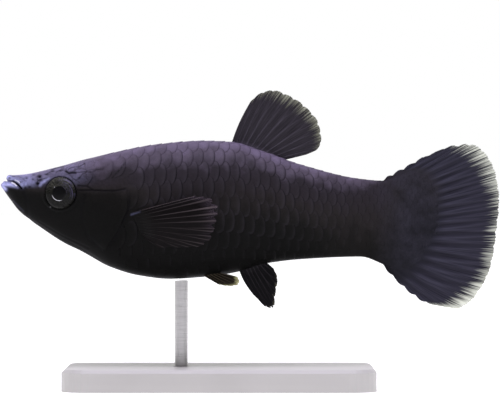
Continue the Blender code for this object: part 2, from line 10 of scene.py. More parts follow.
import bpy
import numpy as np
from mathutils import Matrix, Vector


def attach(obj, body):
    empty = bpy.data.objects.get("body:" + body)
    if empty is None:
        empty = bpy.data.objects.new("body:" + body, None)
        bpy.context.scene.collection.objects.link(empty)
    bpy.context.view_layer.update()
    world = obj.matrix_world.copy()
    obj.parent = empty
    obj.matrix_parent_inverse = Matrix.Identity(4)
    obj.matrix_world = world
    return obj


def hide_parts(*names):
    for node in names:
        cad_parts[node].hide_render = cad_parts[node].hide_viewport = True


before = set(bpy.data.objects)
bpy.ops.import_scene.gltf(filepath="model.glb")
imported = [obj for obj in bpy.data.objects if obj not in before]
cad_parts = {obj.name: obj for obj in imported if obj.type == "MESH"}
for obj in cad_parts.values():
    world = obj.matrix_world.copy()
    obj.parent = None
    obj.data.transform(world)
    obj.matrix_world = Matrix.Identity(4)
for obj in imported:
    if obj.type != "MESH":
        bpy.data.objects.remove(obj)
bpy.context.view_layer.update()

MM = 0.001
LENGTH = 90.0
AXIS_HEIGHT = 34.0
TURN = math.tau
SIDES = (("left", -1), ("right", 1))
rng = np.random.default_rng(11)

# Side view of the body, carried on over the fleshy root of the tail fin
BACK_LINE = [
    (0.0, 2.8), (0.85, 3.5), (1.1, 3.85), (2.2, 4.4), (4.3, 4.6), (10.7, 6.05), (17.9, 8.05),
    (28.7, 10.15), (36.5, 10.75), (41.6, 10.55), (47.2, 8.9), (54.0, 6.5), (64.9, 3.9), (69.0, 3.6),
    (71.6, 4.5), (74.0, 5.3), (75.8, 5.2), (77.4, 4.2), (79.0, 1.8),
]
BELLY_LINE = [
    (0.0, 2.6), (1.6, 0.3), (3.4, -2.0), (8.3, -5.7), (11.6, -7.8), (14.3, -9.1), (19.7, -12.15),
    (25.1, -13.75), (30.5, -14.35), (36.0, -14.05), (42.5, -13.15), (47.7, -11.6), (55.0, -10.75),
    (65.0, -10.35), (69.0, -11.7), (71.5, -12.7), (73.6, -12.6), (75.8, -10.8), (77.4, -8.6), (79.0, -5.6),
]
HALF_WIDTH = [
    (0.0, 2.3), (3.4, 2.9), (7.0, 3.9), (11.0, 4.9), (15.0, 5.6), (20.0, 6.25), (26.0, 6.85),
    (32.0, 7.1), (38.0, 6.9), (44.0, 6.2), (50.0, 5.2), (56.0, 4.1), (62.0, 3.0), (69.0, 1.9),
    (72.0, 1.3), (75.0, 0.72), (77.2, 0.32), (79.0, 0.04),
]
WIDEST_SHARE = [(0.0, 0.3), (10.7, 0.36), (20.0, 0.46), (32.0, 0.56), (48.0, 0.5), (69.0, 0.48)]
UPPER_FULLNESS = [
    (0.0, 2.5), (12.0, 2.7), (24.0, 2.2), (40.0, 2.0), (69.0, 2.0), (74.0, 1.5), (79.0, 1.2),
]
LOWER_FULLNESS = [
    (0.0, 1.9), (12.0, 1.75), (24.0, 2.0), (34.0, 2.25), (50.0, 2.0), (69.0, 2.0), (74.0, 1.5), (79.0, 1.2),
]
SNOUT_ROUNDING = 3.0
SNOUT_TIP = 0.02
BODY_END = 79.0
# Depth kept free under the scales, and the net of points that the skin is made of
COAT_DEPTH = 0.12
HEAD_STATIONS = 226
BODY_STATIONS = 90
HEAD_SPAN = 24.5
ROUND_COUNT = 300

# Mouth, nostrils, eye and gill opening in side view
MOUTH_SLIT = [(0.95, 3.6), (1.6, 3.58), (2.41, 3.4), (3.04, 2.98), (3.58, 2.5), (3.93, 2.1)]
UPPER_LIP = [(4.15, 2.75), (3.5, 3.4), (2.75, 3.8), (2.0, 4.0), (1.45, 4.15)]
LOWER_LIP = [(3.25, 2.35), (2.6, 2.6), (1.7, 2.85), (0.8, 2.95), (0.1, 2.75)]
LIP_GROOVE = [(1.9, 4.45), (3.0, 4.3), (4.0, 4.0), (4.6, 3.4), (4.5, 2.8), (4.1, 2.3)]
FRONT_LIP = [(0.25, 2.6), (0.6, 2.3), (0.9, 2.0)]
BROW = [(7.35, 2.75), (7.7, 3.1), (8.2, 3.45), (8.9, 3.85)]
NOSTRILS = [(7.2, 4.2), (6.9, 2.95)]
EYE_CENTRE = (11.0, 1.25)
EYE_RADIUS = 2.9
EYE_HALF_DEPTH = 1.9
EYE_BULGE = 0.75
GILL_LINE = [(20.9, 7.2), (22.9, 2.4), (23.2, -0.8), (22.2, -3.8), (20.9, -6.4), (18.8, -9.4)]
GILL_LOW, GILL_HIGH = -9.4, 2.4

# Ridges of the head: line, half width and height
RIDGES = [(UPPER_LIP, 0.42, 0.34), (LOWER_LIP, 0.36, 0.26), (BROW, 0.3, 0.1)]
# Raised and sunk rings round the eye: radius, half width and height
ORBIT_RINGS = [(3.15, 0.16, 0.08), (3.5, 0.2, -0.04)]
NOSTRIL_RIM = (0.42, 0.16, 0.08)
NOSTRIL_HOLE = (0.24, 0.4)
NOSTRIL_SHADE = (0.392, 0.28)
SOCKET_DEPTH = 1.3
SOCKET_RADIUS = 2.8
SOCKET_SLACK = 0.14
GILL_PROUD = 0.26
GILL_STEP = 0.12
RAY_FOOT_HEIGHT = 0.13
RAY_FOOT_WIDTH = 0.3
# Sensory pores and small folds, sunk and darkened with painted shade: place, half length and half height
PITS = [
    (7.3, 3.56, 0.55, 0.26), (8.46, 4.57, 0.42, 0.16), (4.85, 3.93, 0.24, 0.16), (14.4, 3.97, 0.24, 0.18),
    (15.4, 1.0, 0.3, 0.2), (5.4, 2.35, 0.3, 0.2), (4.6, 2.15, 0.3, 0.26), (9.6, 5.15, 0.3, 0.12),
    (6.1, 4.5, 0.3, 0.1), (6.0, 3.7, 0.2, 0.14), (1.75, 3.95, 0.3, 0.16), (2.5, 4.25, 0.4, 0.1),
    (10.9, 5.2, 0.35, 0.1), (3.74, 3.2, 0.24, 0.15),
]
PIT_DEPTH = 0.1
# Creases between the plates of the head: line, half width and depth, with the mouth's slit last
CREASES = [
    ([(11.95, 5.15), (12.5, 4.78), (13.05, 4.87), (13.75, 4.87)], 0.2, 0.22),
    ([(13.75, 4.87), (15.2, 5.05), (16.8, 4.96), (17.35, 5.41), (18.6, 5.5), (19.5, 6.3)], 0.09, 0.1),
    ([(17.2, 4.95), (16.9, 4.2), (16.4, 3.3), (15.9, 2.6)], 0.09, 0.1),
    ([(12.4, 5.5), (12.9, 5.8), (14.4, 6.0), (15.4, 6.6)], 0.09, 0.1),
    ([(8.3, 4.6), (8.9, 4.9), (9.7, 5.3)], 0.09, 0.1),
    ([(10.2, 5.0), (10.9, 5.35), (11.7, 5.3)], 0.09, 0.1),
    ([(9.2, 5.35), (10.4, 5.85), (11.4, 5.95)], 0.09, 0.1),
    ([(20.4, 4.0), (21.3, 4.9), (22.4, 6.4)], 0.09, 0.1),
    # Along the top of the gill cover
    ([(14.1, 1.8), (17.0, 1.78), (18.9, 1.68), (20.8, 1.7), (22.8, 1.95)], 0.16, 0.18),
    ([(14.15, 2.6), (15.8, 2.5), (16.8, 1.9)], 0.14, 0.12),
    (LIP_GROOVE, 0.16, 0.05),
    # Cheek, jaw and throat
    ([(15.5, 1.0), (14.9, -0.6), (14.9, -3.4), (16.0, -6.6), (18.6, -9.0)], 0.3, 0.05),
    ([(14.2, 2.4), (13.9, 1.0), (13.5, -1.0)], 0.3, 0.05),
    ([(4.3, 1.7), (4.9, 0.2), (5.1, -1.8), (5.0, -4.2)], 0.35, 0.07),
    ([(5.6, -3.6), (9.6, -6.1), (14.6, -8.7), (17.6, -10.6)], 0.2, 0.05),
    ([(7.0, -3.9), (11.0, -6.3), (16.0, -8.6)], 0.2, 0.05),
    (MOUTH_SLIT, 0.17, 0.5),
]

# Pale marks: line, half width and strength, then spots as place, half length, half height and strength
PALE_LINES = [
    (BROW, 0.33, 0.5),
    ([(2.4, -0.1), (3.4, -1.2), (4.2, -2.0)], 0.12, 0.03),
    ([(23.8, -2.6), (25.3, -2.15)], 0.15, 0.13),
]
PALE_SPOTS = [(4.55, 3.0, 0.5, 0.5, 0.85), (6.1, 3.2, 0.55, 0.55, 0.3)]
DIM_SHOULDER = (22.0, 4.2, 2.6, 1.5, 0.1)
# Painted highlights along the wet lips, and one painted highlight speck before the eye
LOWER_LIP_HIGHLIGHT = [(2.2, 3.12), (2.7, 2.88), (3.05, 2.55)]
UPPER_LIP_HIGHLIGHT = [(2.8, 3.6), (3.25, 3.4), (3.6, 3.12)]
HIGHLIGHT_SPECK = (9.2, -1.25, 0.12, 0.12, 0.1)

# Tail fin: its root, and points of its margin after the share of the fan that each belongs to
CAUDAL_ROOT_X = 68.8
CAUDAL_MARGIN = [
    (0.0, 77.6, 8.1), (0.06, 81.2, 9.7), (0.14, 84.9, 10.05), (0.22, 87.7, 8.2), (0.34, 89.4, 4.6),
    (0.48, 90.0, 0.0), (0.62, 89.6, -5.0), (0.76, 88.6, -11.6), (0.86, 86.3, -16.5), (0.94, 82.3, -19.6),
    (1.0, 77.8, -18.9),
]
CAUDAL_RAYS = 19
# Where the flesh of the tail ends and the open rays begin
LOBE_EDGE = [
    (70.2, 4.9), (72.1, 5.05), (75.0, 5.5), (77.1, 3.97), (78.2, 1.8), (78.4, -1.4), (78.2, -4.5),
    (77.1, -7.2), (76.4, -9.0), (74.6, -11.9), (71.6, -13.5),
]
HALVINGS = 24


# Curves and side-view measures


def smooth_profile(points):
    """A smooth curve through points that never swings past them."""
    xs, ys = np.array(points, float).T
    steps = np.diff(xs)
    slopes = np.diff(ys) / steps
    tangents = np.empty(len(xs))
    tangents[0], tangents[-1] = slopes[0], slopes[-1]
    before, after = slopes[:-1], slopes[1:]
    same_way = before * after > 0
    total = np.where(same_way, before + after, 1.0)
    tangents[1:-1] = np.where(same_way, 2 * before * after / total, 0.0)

    def curve(x):
        x = np.clip(x, xs[0], xs[-1])
        i = np.clip(np.searchsorted(xs, x, side="right") - 1, 0, len(steps) - 1)
        t = (x - xs[i]) / steps[i]
        rise = ys[i] * (1 + 2 * t) * (1 - t) ** 2 + ys[i + 1] * t * t * (3 - 2 * t)
        return rise + steps[i] * t * (1 - t) * (tangents[i] * (1 - t) - tangents[i + 1] * t)

    return curve


def margin_curve(points):
    shares, xs, zs = np.array(points).T
    return smooth_profile(np.stack([shares, xs], 1)), smooth_profile(np.stack([shares, zs], 1))


back, belly, half_width = map(smooth_profile, (BACK_LINE, BELLY_LINE, HALF_WIDTH))
widest_share, upper_fullness, lower_fullness = map(
    smooth_profile, (WIDEST_SHARE, UPPER_FULLNESS, LOWER_FULLNESS)
)
gill_x = smooth_profile(sorted((z, x) for x, z in GILL_LINE))


def place(points):
    """Side-view millimetres to metres in the shared frame."""
    return (np.asarray(points, float) + np.array([-LENGTH / 2, 0.0, AXIS_HEIGHT])) * MM


def ease(low, high, value):
    """0 below low, 1 above high and smooth between."""
    t = np.clip((value - low) / (high - low), 0.0, 1.0)
    return t * t * (3 - 2 * t)


def fall(low, high, value):
    """1 below low, 0 above high and smooth between."""
    return 1 - ease(low, high, value)


def hump(distance, width):
    """1 at distance 0, fading over a half width."""
    return np.exp(-((distance / width) ** 2))


def oval(x, z, middle_x, middle_z, length, tall):
    """1 at a place in side view, fading over a half length and a half height."""
    return hump(np.hypot((x - middle_x) / length, (z - middle_z) / tall), 1.0)


def section(x):
    """Half width, widest level, rise above it and drop below it at x."""
    top, low = back(x), belly(x)
    level = top - (top - low) * widest_share(x)
    blunt = np.clip(1.0 - x / SNOUT_ROUNDING, 0.0, 1.0)
    return half_width(x) * np.sqrt(1.0 - blunt**2), level, top - level, level - low


def girth_line(x, angles, grow):
    """Points round the body at x, with angle 0 on the back and a quarter turn on the right side."""
    width, level, rise, drop = section(x)
    up = np.cos(angles) >= 0.0
    power = 2.0 / np.where(up, upper_fullness(x), lower_fullness(x))
    across = np.sign(np.sin(angles)) * np.abs(np.sin(angles)) ** power
    height = np.sign(np.cos(angles)) * np.abs(np.cos(angles)) ** power
    reach = np.where(up, rise, drop) + grow
    return np.stack([np.full_like(angles, x), (width + grow) * across, level + reach * height], 1)


def side_at(x, z):
    """Half width of the body at x and height z."""
    width, level, rise, drop = section(x)
    upper = z >= level
    reach = np.where(upper, rise, drop)
    power = np.where(upper, upper_fullness(x), lower_fullness(x))
    share = np.minimum(np.abs(z - level) / np.maximum(reach, 1e-6), 1.0)
    return width * (1.0 - share**power) ** (1.0 / power)


def belly_at(x, y):
    """Height of the underside of the body at x and y to the side of the midline."""
    width, level, _, drop = section(x)
    power = lower_fullness(x)
    return level - drop * (1.0 - np.minimum(np.abs(y) / width, 1.0) ** power) ** (1.0 / power)


def line_distance(x, z, line):
    """Distance in side view to the line through a few points."""
    least = np.full(x.shape, np.inf)
    for (ax, az), (bx, bz) in zip(line, line[1:]):
        run = np.array([bx - ax, bz - az])
        along = np.clip(((x - ax) * run[0] + (z - az) * run[1]) / (run @ run), 0.0, 1.0)
        least = np.minimum(least, np.hypot(x - ax - along * run[0], z - az - along * run[1]))
    return least


def stripe(x, z, line, width):
    """1 on a line in side view, fading over a half width."""
    return hump(line_distance(x, z, line), width)


def gill_span(z):
    """1 over the height of the gill opening's free edge, 0 above and below it."""
    return ease(GILL_LOW, -7.4, z) * fall(1.6, 2.3, z)


def gill_flap(x, z):
    """How far the gill cover's rear edge stands proud of the flank."""
    behind = x - gill_x(z)
    ahead = GILL_PROUD * ease(-3.2, -0.3, behind) * fall(-0.06, 0.06, behind)
    sunk = GILL_STEP * ease(-0.02, 0.1, behind) * fall(0.1, 1.4, behind)
    return (ahead - sunk) * gill_span(z)


def fan_place(x, z):
    """Share and reach of the tail fin's fan at x, z in side view."""
    low, high = np.zeros(x.shape), np.ones(x.shape)
    margin_x, margin_z = margin_curve(CAUDAL_MARGIN)
    top, bottom = back(CAUDAL_ROOT_X), belly(CAUDAL_ROOT_X)
    for _ in range(HALVINGS):
        share = (low + high) / 2
        reach = (x - CAUDAL_ROOT_X) / (margin_x(share) - CAUDAL_ROOT_X)
        start = top + (bottom - top) * share
        above = z > start + (margin_z(share) - start) * reach
        low, high = np.where(above, low, share), np.where(above, share, high)
    return share, np.clip(reach, 0.0, 1.0)


lobe_end = smooth_profile(np.stack(fan_place(*np.array(LOBE_EDGE).T), 1))


def past_lobe(share, reach):
    """Share of a ray's length by which a place on the tail lies beyond the fleshy lobe."""
    return reach - lobe_end(share)


def ray_feet(x, z):
    """How far the feet of the tail's rays stand up in the flesh at its root."""
    share, reach = fan_place(np.maximum(x, CAUDAL_ROOT_X + 0.1), z)
    off = share * (CAUDAL_RAYS - 1)
    foot = RAY_FOOT_HEIGHT * hump(off - np.round(off), RAY_FOOT_WIDTH)
    return foot * ease(-0.25, 0.1, past_lobe(share, reach))


def eye_distance(x, z):
    return np.hypot(x - EYE_CENTRE[0], z - EYE_CENTRE[1])


def above_behind_eye(x, z):
    """1 above and behind the eye, 0 below and in front: the socket's brink lies wider there, and the painted
    shade round the eye is stronger.
    """
    return ease(-1.6, 1.4, 0.45 * (x - EYE_CENTRE[0]) + 0.9 * (z - EYE_CENTRE[1]))


def socket_brink(x, z):
    """Radius of the eye socket's brink."""
    return SOCKET_RADIUS + SOCKET_SLACK * above_behind_eye(x, z)


def relief(points):
    """Millimetres by which lips, nostrils, orbits, gill covers and creases stand off the plain body."""
    x, z = points[:, 0], points[:, 2]
    out = np.zeros(len(points))
    for line, width, height in RIDGES:
        out += height * stripe(x, z, line, width)
    for line, width, depth in CREASES:
        out -= depth * stripe(x, z, line, width)
    for pit in PITS:
        out -= PIT_DEPTH * oval(x, z, *pit)
    out *= ease(0.1, 0.9, x)
    rim, width, height = NOSTRIL_RIM
    hole, depth = NOSTRIL_HOLE
    for nostril_x, nostril_z in NOSTRILS:
        away = np.hypot(x - nostril_x, z - nostril_z)
        out += height * hump(away - rim, width) - depth * hump(away, hole)
    away, brink = eye_distance(x, z), socket_brink(x, z)
    for ring, width, height in ORBIT_RINGS:
        out += height * hump(away - ring, width)
    out -= SOCKET_DEPTH * fall(brink - 0.16, brink, away)
    return out + gill_flap(x, z) + ray_feet(x, z)


# Meshes


def net_faces(numbers):
    """Four-sided faces between neighbours in a net of point numbers."""
    corners = [numbers[:-1, :-1], numbers[:-1, 1:], numbers[1:, 1:], numbers[1:, :-1]]
    return np.stack(corners, 2).reshape(-1, 4)


def round_net(rows, count):
    """Point numbers of rows of points that each close into a ring."""
    return np.pad(np.arange(rows * count).reshape(rows, count), ((0, 0), (0, 1)), mode="wrap")


def plate_faces(numbers, behind):
    """Faces of a closed plate: a net, the same net behind it with its corners so ordered, and the rim."""
    top = net_faces(numbers)
    rim = np.concatenate([numbers[0], numbers[1:, -1], numbers[-1, -2::-1], numbers[-2:0:-1, 0]])
    after = np.roll(rim, -1)
    edge = np.stack([after, rim, numbers.size + rim, numbers.size + after], 1)
    return top, numbers.size + top[:, behind], edge


def new_object(name, points, faces, material):
    mesh = bpy.data.meshes.new(name)
    mesh.from_pydata(points, [], faces)
    mesh.shade_smooth()
    mesh.materials.append(material)
    made = bpy.data.objects.new(name, mesh)
    bpy.context.scene.collection.objects.link(made)
    return made


def mesh_piece(name, points, faces, material):
    piece = new_object(name, place(points), faces, material)
    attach(piece, "root")
    return piece


def tag(piece, **values):
    """Stores one number a point under each name, for the materials to read."""
    for name, numbers in values.items():
        layer = piece.data.attributes.new(name, "FLOAT", "POINT")
        layer.data.foreach_set("value", np.asarray(numbers, np.float32).ravel())


def unwrap(piece, u, v, folded=0):
    """An OFBake map from one u, v a point.

    A face across the seam is closed, and the last folded faces lie flat.
    """
    mesh = piece.data
    corners = np.empty(len(mesh.loops), np.int32)
    mesh.loops.foreach_get("vertex_index", corners)
    starts = np.empty(len(mesh.polygons), np.int32)
    mesh.polygons.foreach_get("loop_start", starts)
    if folded:
        corners[starts[-folded]:] %= len(mesh.vertices) // 2
    own = np.stack([u[corners], v[corners]], 1)
    face_of = np.repeat(np.arange(len(starts)), np.diff(np.append(starts, len(corners))))
    highest = np.maximum.reduceat(own[:, 1], starts)[face_of]
    own[(highest > 0.75) & (own[:, 1] < 0.25), 1] += 1.0
    layer = mesh.uv_layers.new(name="OFBake")
    layer.data.foreach_set("uv", np.clip(own, 0.0, 1.0).astype(np.float32).ravel())


class Skin:
    """The body's surface as an even net, which scales are set on."""

    def __init__(self):
        head = HEAD_SPAN * np.linspace(0.004, 1.0, HEAD_STATIONS) ** 1.25
        rest = np.linspace(HEAD_SPAN, BODY_END, BODY_STATIONS + 1)[1:]
        self.stations = np.concatenate([head, rest])
        fine = np.linspace(0.0, TURN, 4 * ROUND_COUNT + 1)
        rings, girths = [], []
        for x in self.stations:
            coat = COAT_DEPTH * ease(14.0, 18.0, x) * fall(68.0, 75.0, x)
            line = girth_line(x, fine, -coat)
            along = np.concatenate([[0.0], np.cumsum(np.linalg.norm(np.diff(line, axis=0), axis=1))])
            wanted = np.linspace(0.0, along[-1], ROUND_COUNT, endpoint=False)
            rings.append(np.stack([np.interp(wanted, along, axis) for axis in line.T], 1))
            girths.append(along[-1])
        self.girths = np.array(girths)
        plain = np.array(rings)
        lift = relief(plain.reshape(-1, 3)).reshape(plain.shape[:2])
        self.points = plain + self.ways_out(plain) * lift[:, :, None]
        self.ways = self.ways_out(self.points)

    @staticmethod
    def ways_out(net):
        along = np.gradient(net, axis=0)
        around = np.roll(net, -1, axis=1) - np.roll(net, 1, axis=1)
        normal = np.cross(along, around)
        return normal / np.maximum(np.linalg.norm(normal, axis=2), 1e-9)[:, :, None]

    def at(self, x, turn):
        """Points and outward directions at x and at turn, the share of the way round from the back."""
        row = np.interp(x, self.stations, np.arange(len(self.stations)))
        column = (turn % 1.0) * ROUND_COUNT
        i = np.minimum(row.astype(int), len(self.stations) - 2)
        j = column.astype(int) % ROUND_COUNT
        k = (j + 1) % ROUND_COUNT
        s, t = (row - i)[:, None], (column - np.floor(column))[:, None]
        found = []
        for net in (self.points, self.ways):
            front = net[i, j] * (1 - t) + net[i, k] * t
            behind = net[i + 1, j] * (1 - t) + net[i + 1, k] * t
            found.append(front * (1 - s) + behind * s)
        return found

    def girth(self, x):
        return np.interp(x, self.stations, self.girths)


def markings(points):
    """The numbers by which skin, scales and fin roots are coloured.

    They are height on the body from belly to back, paleness of the lips and snout, partly painted highlight,
    and of the crown, painted sheen, darkness that is painted shade in creases, pits, nostrils, the mouth's
    slit and the gaps round eye and gill cover, painted highlights along the wet lips, and how much of the
    crown's fine cracks shows.
    """
    x, z = points[:, 0], points[:, 2]
    top, low = back(x), belly(x)
    height = np.clip((z - low) / np.maximum(top - low, 0.5), 0.0, 1.0)
    # The tail stalk is darker along its top and paler below, and cheek, throat and shoulder are darker
    height = height - 0.1 * ease(46.0, 74.0, x) * height**2 + 0.4 * ease(48.0, 64.0, x) * (1 - height) ** 2
    height = height - 0.22 * fall(18.0, 30.0, x) * fall(0.5, 3.5, z)
    height = height - DIM_SHOULDER[-1] * oval(x, z, *DIM_SHOULDER[:-1])
    # The flesh at the root of the tail fin is of one tone
    lobe = ease(66.0, 74.0, x)
    height = height * (1 - 0.75 * lobe) + 0.34 * lobe
    lower_width = 0.43 - 0.13 * ease(1.0, 3.0, x)
    snout = fall(4.6, 8.0, x) * ease(1.9, 3.1, z) * np.maximum(ease(2.8, 3.8, x), ease(3.0, 3.5, z))
    # Pale lips and snout are partly the skin's own pale blue and partly painted highlight; the pale band
    # over the forehead and crown is painted sheen
    pale = [
        0.95 * stripe(x, z, UPPER_LIP, 0.5) * (1 - 0.2 * ease(1.0, 3.5, x)),
        0.95 * stripe(x, z, LOWER_LIP, lower_width) * (1 - 0.6 * ease(1.4, 3.4, x)),
        0.8075 * stripe(x, z, FRONT_LIP, 0.38),
        0.4 * snout,
        0.14 * fall(11.0, 18.5, x) * ease(2.0, 3.8, z),
        0.02 * lobe,
    ]
    pale += [strength * stripe(x, z, line, width) for line, width, strength in PALE_LINES]
    pale += [strength * oval(x, z, *spot) for *spot, strength in PALE_SPOTS]
    away, brink = eye_distance(x, z), socket_brink(x, z)
    # Darkness is painted shade: in the mouth's slit, in the gap round the eye, strongest above and behind
    # it, and just behind the gill cover's free edge
    dark = [
        (0.05 + 0.95 * ease(1.8, 2.6, x)) * stripe(x, z, MOUTH_SLIT, 0.18),
        (0.05 + 0.85 * above_behind_eye(x, z)) * fall(brink - 0.08, brink + 0.04, away),
        0.9 * gill_span(z) * hump(x - gill_x(z) - 0.15, 0.22),
    ]
    # Painted shade in the pits and nostrils
    dark += [0.8 * oval(x, z, *pit) for pit in PITS]
    dark += [oval(x, z, *nostril, *NOSTRIL_SHADE) for nostril in NOSTRILS]
    # Painted shade in each crease, darker the deeper it is
    for line, width, depth in CREASES[:-1]:
        dark.append(min(1.0, depth / 0.14) * stripe(x, z, line, width * 1.1))
    # Painted highlights on the wet lips and on one speck before the eye
    wet_highlight = [
        stripe(x, z, LOWER_LIP_HIGHLIGHT, 0.13 - 0.05 * ease(2.3, 3.1, x)),
        0.75 * stripe(x, z, UPPER_LIP_HIGHLIGHT, 0.08),
        HIGHLIGHT_SPECK[-1] * oval(x, z, *HIGHLIGHT_SPECK[:-1]),
    ]
    crown = fall(15.0, 21.0, x) * ease(1.8, 3.4, z) * (0.4 + 0.6 * ease(5.0, 9.0, x))
    pale, dark, wet_highlight = [np.max(each, axis=0) for each in (pale, dark, wet_highlight)]
    return {"height": height, "pale": pale, "dark": dark, "wet_highlight": wet_highlight, "crown": crown}


def make_skin(skin, material):
    rows, count = skin.points.shape[:2]
    faces = net_faces(round_net(rows, count)).tolist()
    nose = rows * count
    end = nose - count
    for j in range(count):
        k = (j + 1) % count
        faces.append((j, nose, k))
        faces.append((end + j, end + k, nose + 1))
    first = skin.points[0].mean(axis=0)
    last = skin.points[-1].mean(axis=0)
    points = np.concatenate([skin.points.reshape(-1, 3), [first - [SNOUT_TIP, 0.0, 0.0], last]])
    piece = mesh_piece("skin", points, faces, material)
    tag(piece, **markings(points))
    u = np.append(np.repeat(skin.stations / BODY_END, count), [0.0, 1.0])
    v = np.append(np.tile((np.arange(count) / count + 0.5) % 1.0, rows), [0.5, 0.5])
    unwrap(piece, u, v)
    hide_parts("head", "lower_jaw", "gill_cover_left", "gill_cover_right", "trunk", "tail_stalk")


# Scales

# Length of skin between one scale and the next along a row, and between rows, by place on the body
SCALE_STEP = smooth_profile([
    (8.0, 2.9), (17.0, 2.7), (22.0, 2.3), (28.0, 1.98), (36.0, 1.9), (52.0, 1.75), (64.0, 1.5),
    (72.0, 1.1), (79.5, 0.8),
])
ROW_STEP = smooth_profile([
    (8.0, 3.4), (20.0, 3.5), (34.0, 3.4), (44.0, 3.15), (52.0, 2.75), (60.0, 2.25), (66.0, 1.75),
    (72.0, 1.3), (79.5, 0.9),
])
SCALED_SPAN = (8.0, 79.5)
LAST_SCALE = 78.0
LEAST_ROW_STEP = 1.3
ROW_SPREAD = 0.95
BACK_CROWDING = 0.026
BACK_CROWDING_SPAN = 0.09
# Where scales begin on the nape and behind the gill opening, and how far they keep from the breast fin
NAPE_LEVEL = 3.6
FIRST_ON_NAPE = 18.8
GILL_MARGIN = 0.35
FIN_FOOT_MARGIN = 1.35
# A scale's outline, in steps along its row and across it, and its net of points
SCALE_HALF_WIDTH = 0.7
SCALE_FRONT = -0.95
SCALE_REAR = 0.62
SCALE_ROUNDNESS = 2.2
SCALE_ACROSS = 13
SCALE_ALONG = 8
SCALE_THICKNESS = 0.035
SCALE_LIFT = 0.06
SCALE_CURL = 0.012
# Size of one scale on the OFBake map
SCALE_PATCH = 0.003


def lattice():
    """Maps between x on the body and the count of scale steps back from the head."""
    xs = np.linspace(*SCALED_SPAN, 800)
    steps = np.concatenate([[0.0], np.cumsum(np.diff(xs) / SCALE_STEP((xs[1:] + xs[:-1]) / 2))])
    return xs, steps


def scale_outline():
    """Steps along and across of each point of one scale's top face, from its front to its round rear."""
    q = np.sin(np.linspace(-1.0, 1.0, SCALE_ACROSS) * math.pi / 2)
    p = np.linspace(0.0, 1.0, SCALE_ALONG) ** 0.8
    rear = SCALE_REAR * (1 - np.abs(q) ** SCALE_ROUNDNESS) ** (1 / SCALE_ROUNDNESS) - 0.03
    front = SCALE_FRONT + 0.2 * np.abs(q) ** 2
    along = front[None, :] + (rear - front)[None, :] * p[:, None]
    across = np.broadcast_to(SCALE_HALF_WIDTH * q[None, :], along.shape)
    return along, across, p[:, None], q[None, :]


def is_bare(x, z):
    """True where no scale is rooted: snout, eye, gill cover, and the foot of the breast fin."""
    if z > NAPE_LEVEL:
        return x < FIRST_ON_NAPE
    if line_distance(np.array([x]), np.array([z]), PECTORAL_ROOT)[0] < FIN_FOOT_MARGIN:
        return True
    return x < float(gill_x(min(max(z, GILL_LOW), GILL_HIGH))) + GILL_MARGIN


def crowded(turn):
    """The same turn round the body, drawn in along the back, where the rows lie closer together."""
    away = np.abs(turn)
    return np.sign(turn) * (ROW_SPREAD * away - BACK_CROWDING * (1 - np.exp(-away / BACK_CROWDING_SPAN)))


def grow_scales(skin):
    """Every scale's points, faces, tags, map places and side, in overlapping staggered rows."""
    xs, steps = lattice()
    along, across, p, q = scale_outline()
    rise = (along - SCALE_FRONT) / (SCALE_REAR - SCALE_FRONT)
    edge = np.maximum(np.abs(q) ** 8 * ease(0.3, 0.9, p), p**9)
    size = 2 * along.size
    numbers = np.arange(along.size).reshape(along.shape)
    own_faces = np.concatenate(plate_faces(numbers, [3, 2, 1, 0]))
    around = np.tile(across.ravel() / SCALE_HALF_WIDTH, 2) * SCALE_PATCH / 2
    forward = np.tile(rise.ravel() - 0.5, 2) * SCALE_PATCH
    grown = []
    most_rows = int(skin.girths.max() / 2 / LEAST_ROW_STEP) + 1
    for row in range(-most_rows, most_rows + 1):
        shift = 0.5 if row % 2 else 0.0
        for column in range(int(steps[-1]) + 1):
            place_on_row = column + shift + rng.uniform(-0.04, 0.04)
            drift = rng.uniform(-0.03, 0.03)
            tone = rng.uniform(-1.0, 1.0)
            tilt = rng.uniform(0.85, 1.2)
            centre = float(np.interp(place_on_row, steps, xs))
            row_turn = float(ROW_STEP(centre)) / float(skin.girth(centre))
            turn = float(crowded((row + drift) * row_turn))
            if centre > LAST_SCALE or abs(turn) > 0.5 + 0.3 * row_turn:
                continue
            root_x, _, root_z = skin.at(np.array([centre]), np.array([turn]))[0][0]
            if is_bare(root_x, root_z):
                continue
            x = np.interp(place_on_row + along, steps, xs)
            turns = crowded((row + drift + across) * ROW_STEP(x) / skin.girth(x))
            spots, ways = skin.at(x.ravel(), turns.ravel())
            # Scales lie flatter and show less at the head, the tail and the belly
            fade = (0.5 + 0.5 * ease(16.0, 27.0, centre)) * (1 - 0.8 * ease(54.0, 74.0, centre))
            fade *= 0.06 + 0.94 * ease(-9.5, -1.5, root_z)
            lift = SCALE_LIFT * float(SCALE_STEP(centre)) * tilt * fade * rise - 0.01
            lift = (lift - SCALE_CURL * np.abs(q) ** 3 + SCALE_CURL * (1 - q**2) * rise).ravel()[:, None]
            shown = (1 - 0.8 * ease(52.0, 74.0, centre)) * (0.15 + 0.85 * ease(-9.0, 0.0, root_z))
            behind = ease(0.5, 4.0, root_x - gill_x(root_z))
            nape = (0.2 + 0.8 * ease(19.0, 26.0, centre)) * ease(2.0, 3.5, root_z)
            shown *= (0.25 + 0.75 * max(behind, nape)) * (0.4 + 0.6 * ease(0.04, 0.13, abs(turn)))
            grown.append((
                np.concatenate([spots + ways * lift, spots + ways * (lift - SCALE_THICKNESS)]),
                own_faces + size * len(grown),
                np.tile(edge.ravel(), 2),
                np.full(size, shown),
                np.full(size, tone),
                centre / BODY_END + forward,
                (turn + 0.5) % 1.0 + around,
                np.full(len(own_faces), turn % 1.0 < 0.5),
            ))
    return [np.concatenate(each) for each in zip(*grown)]


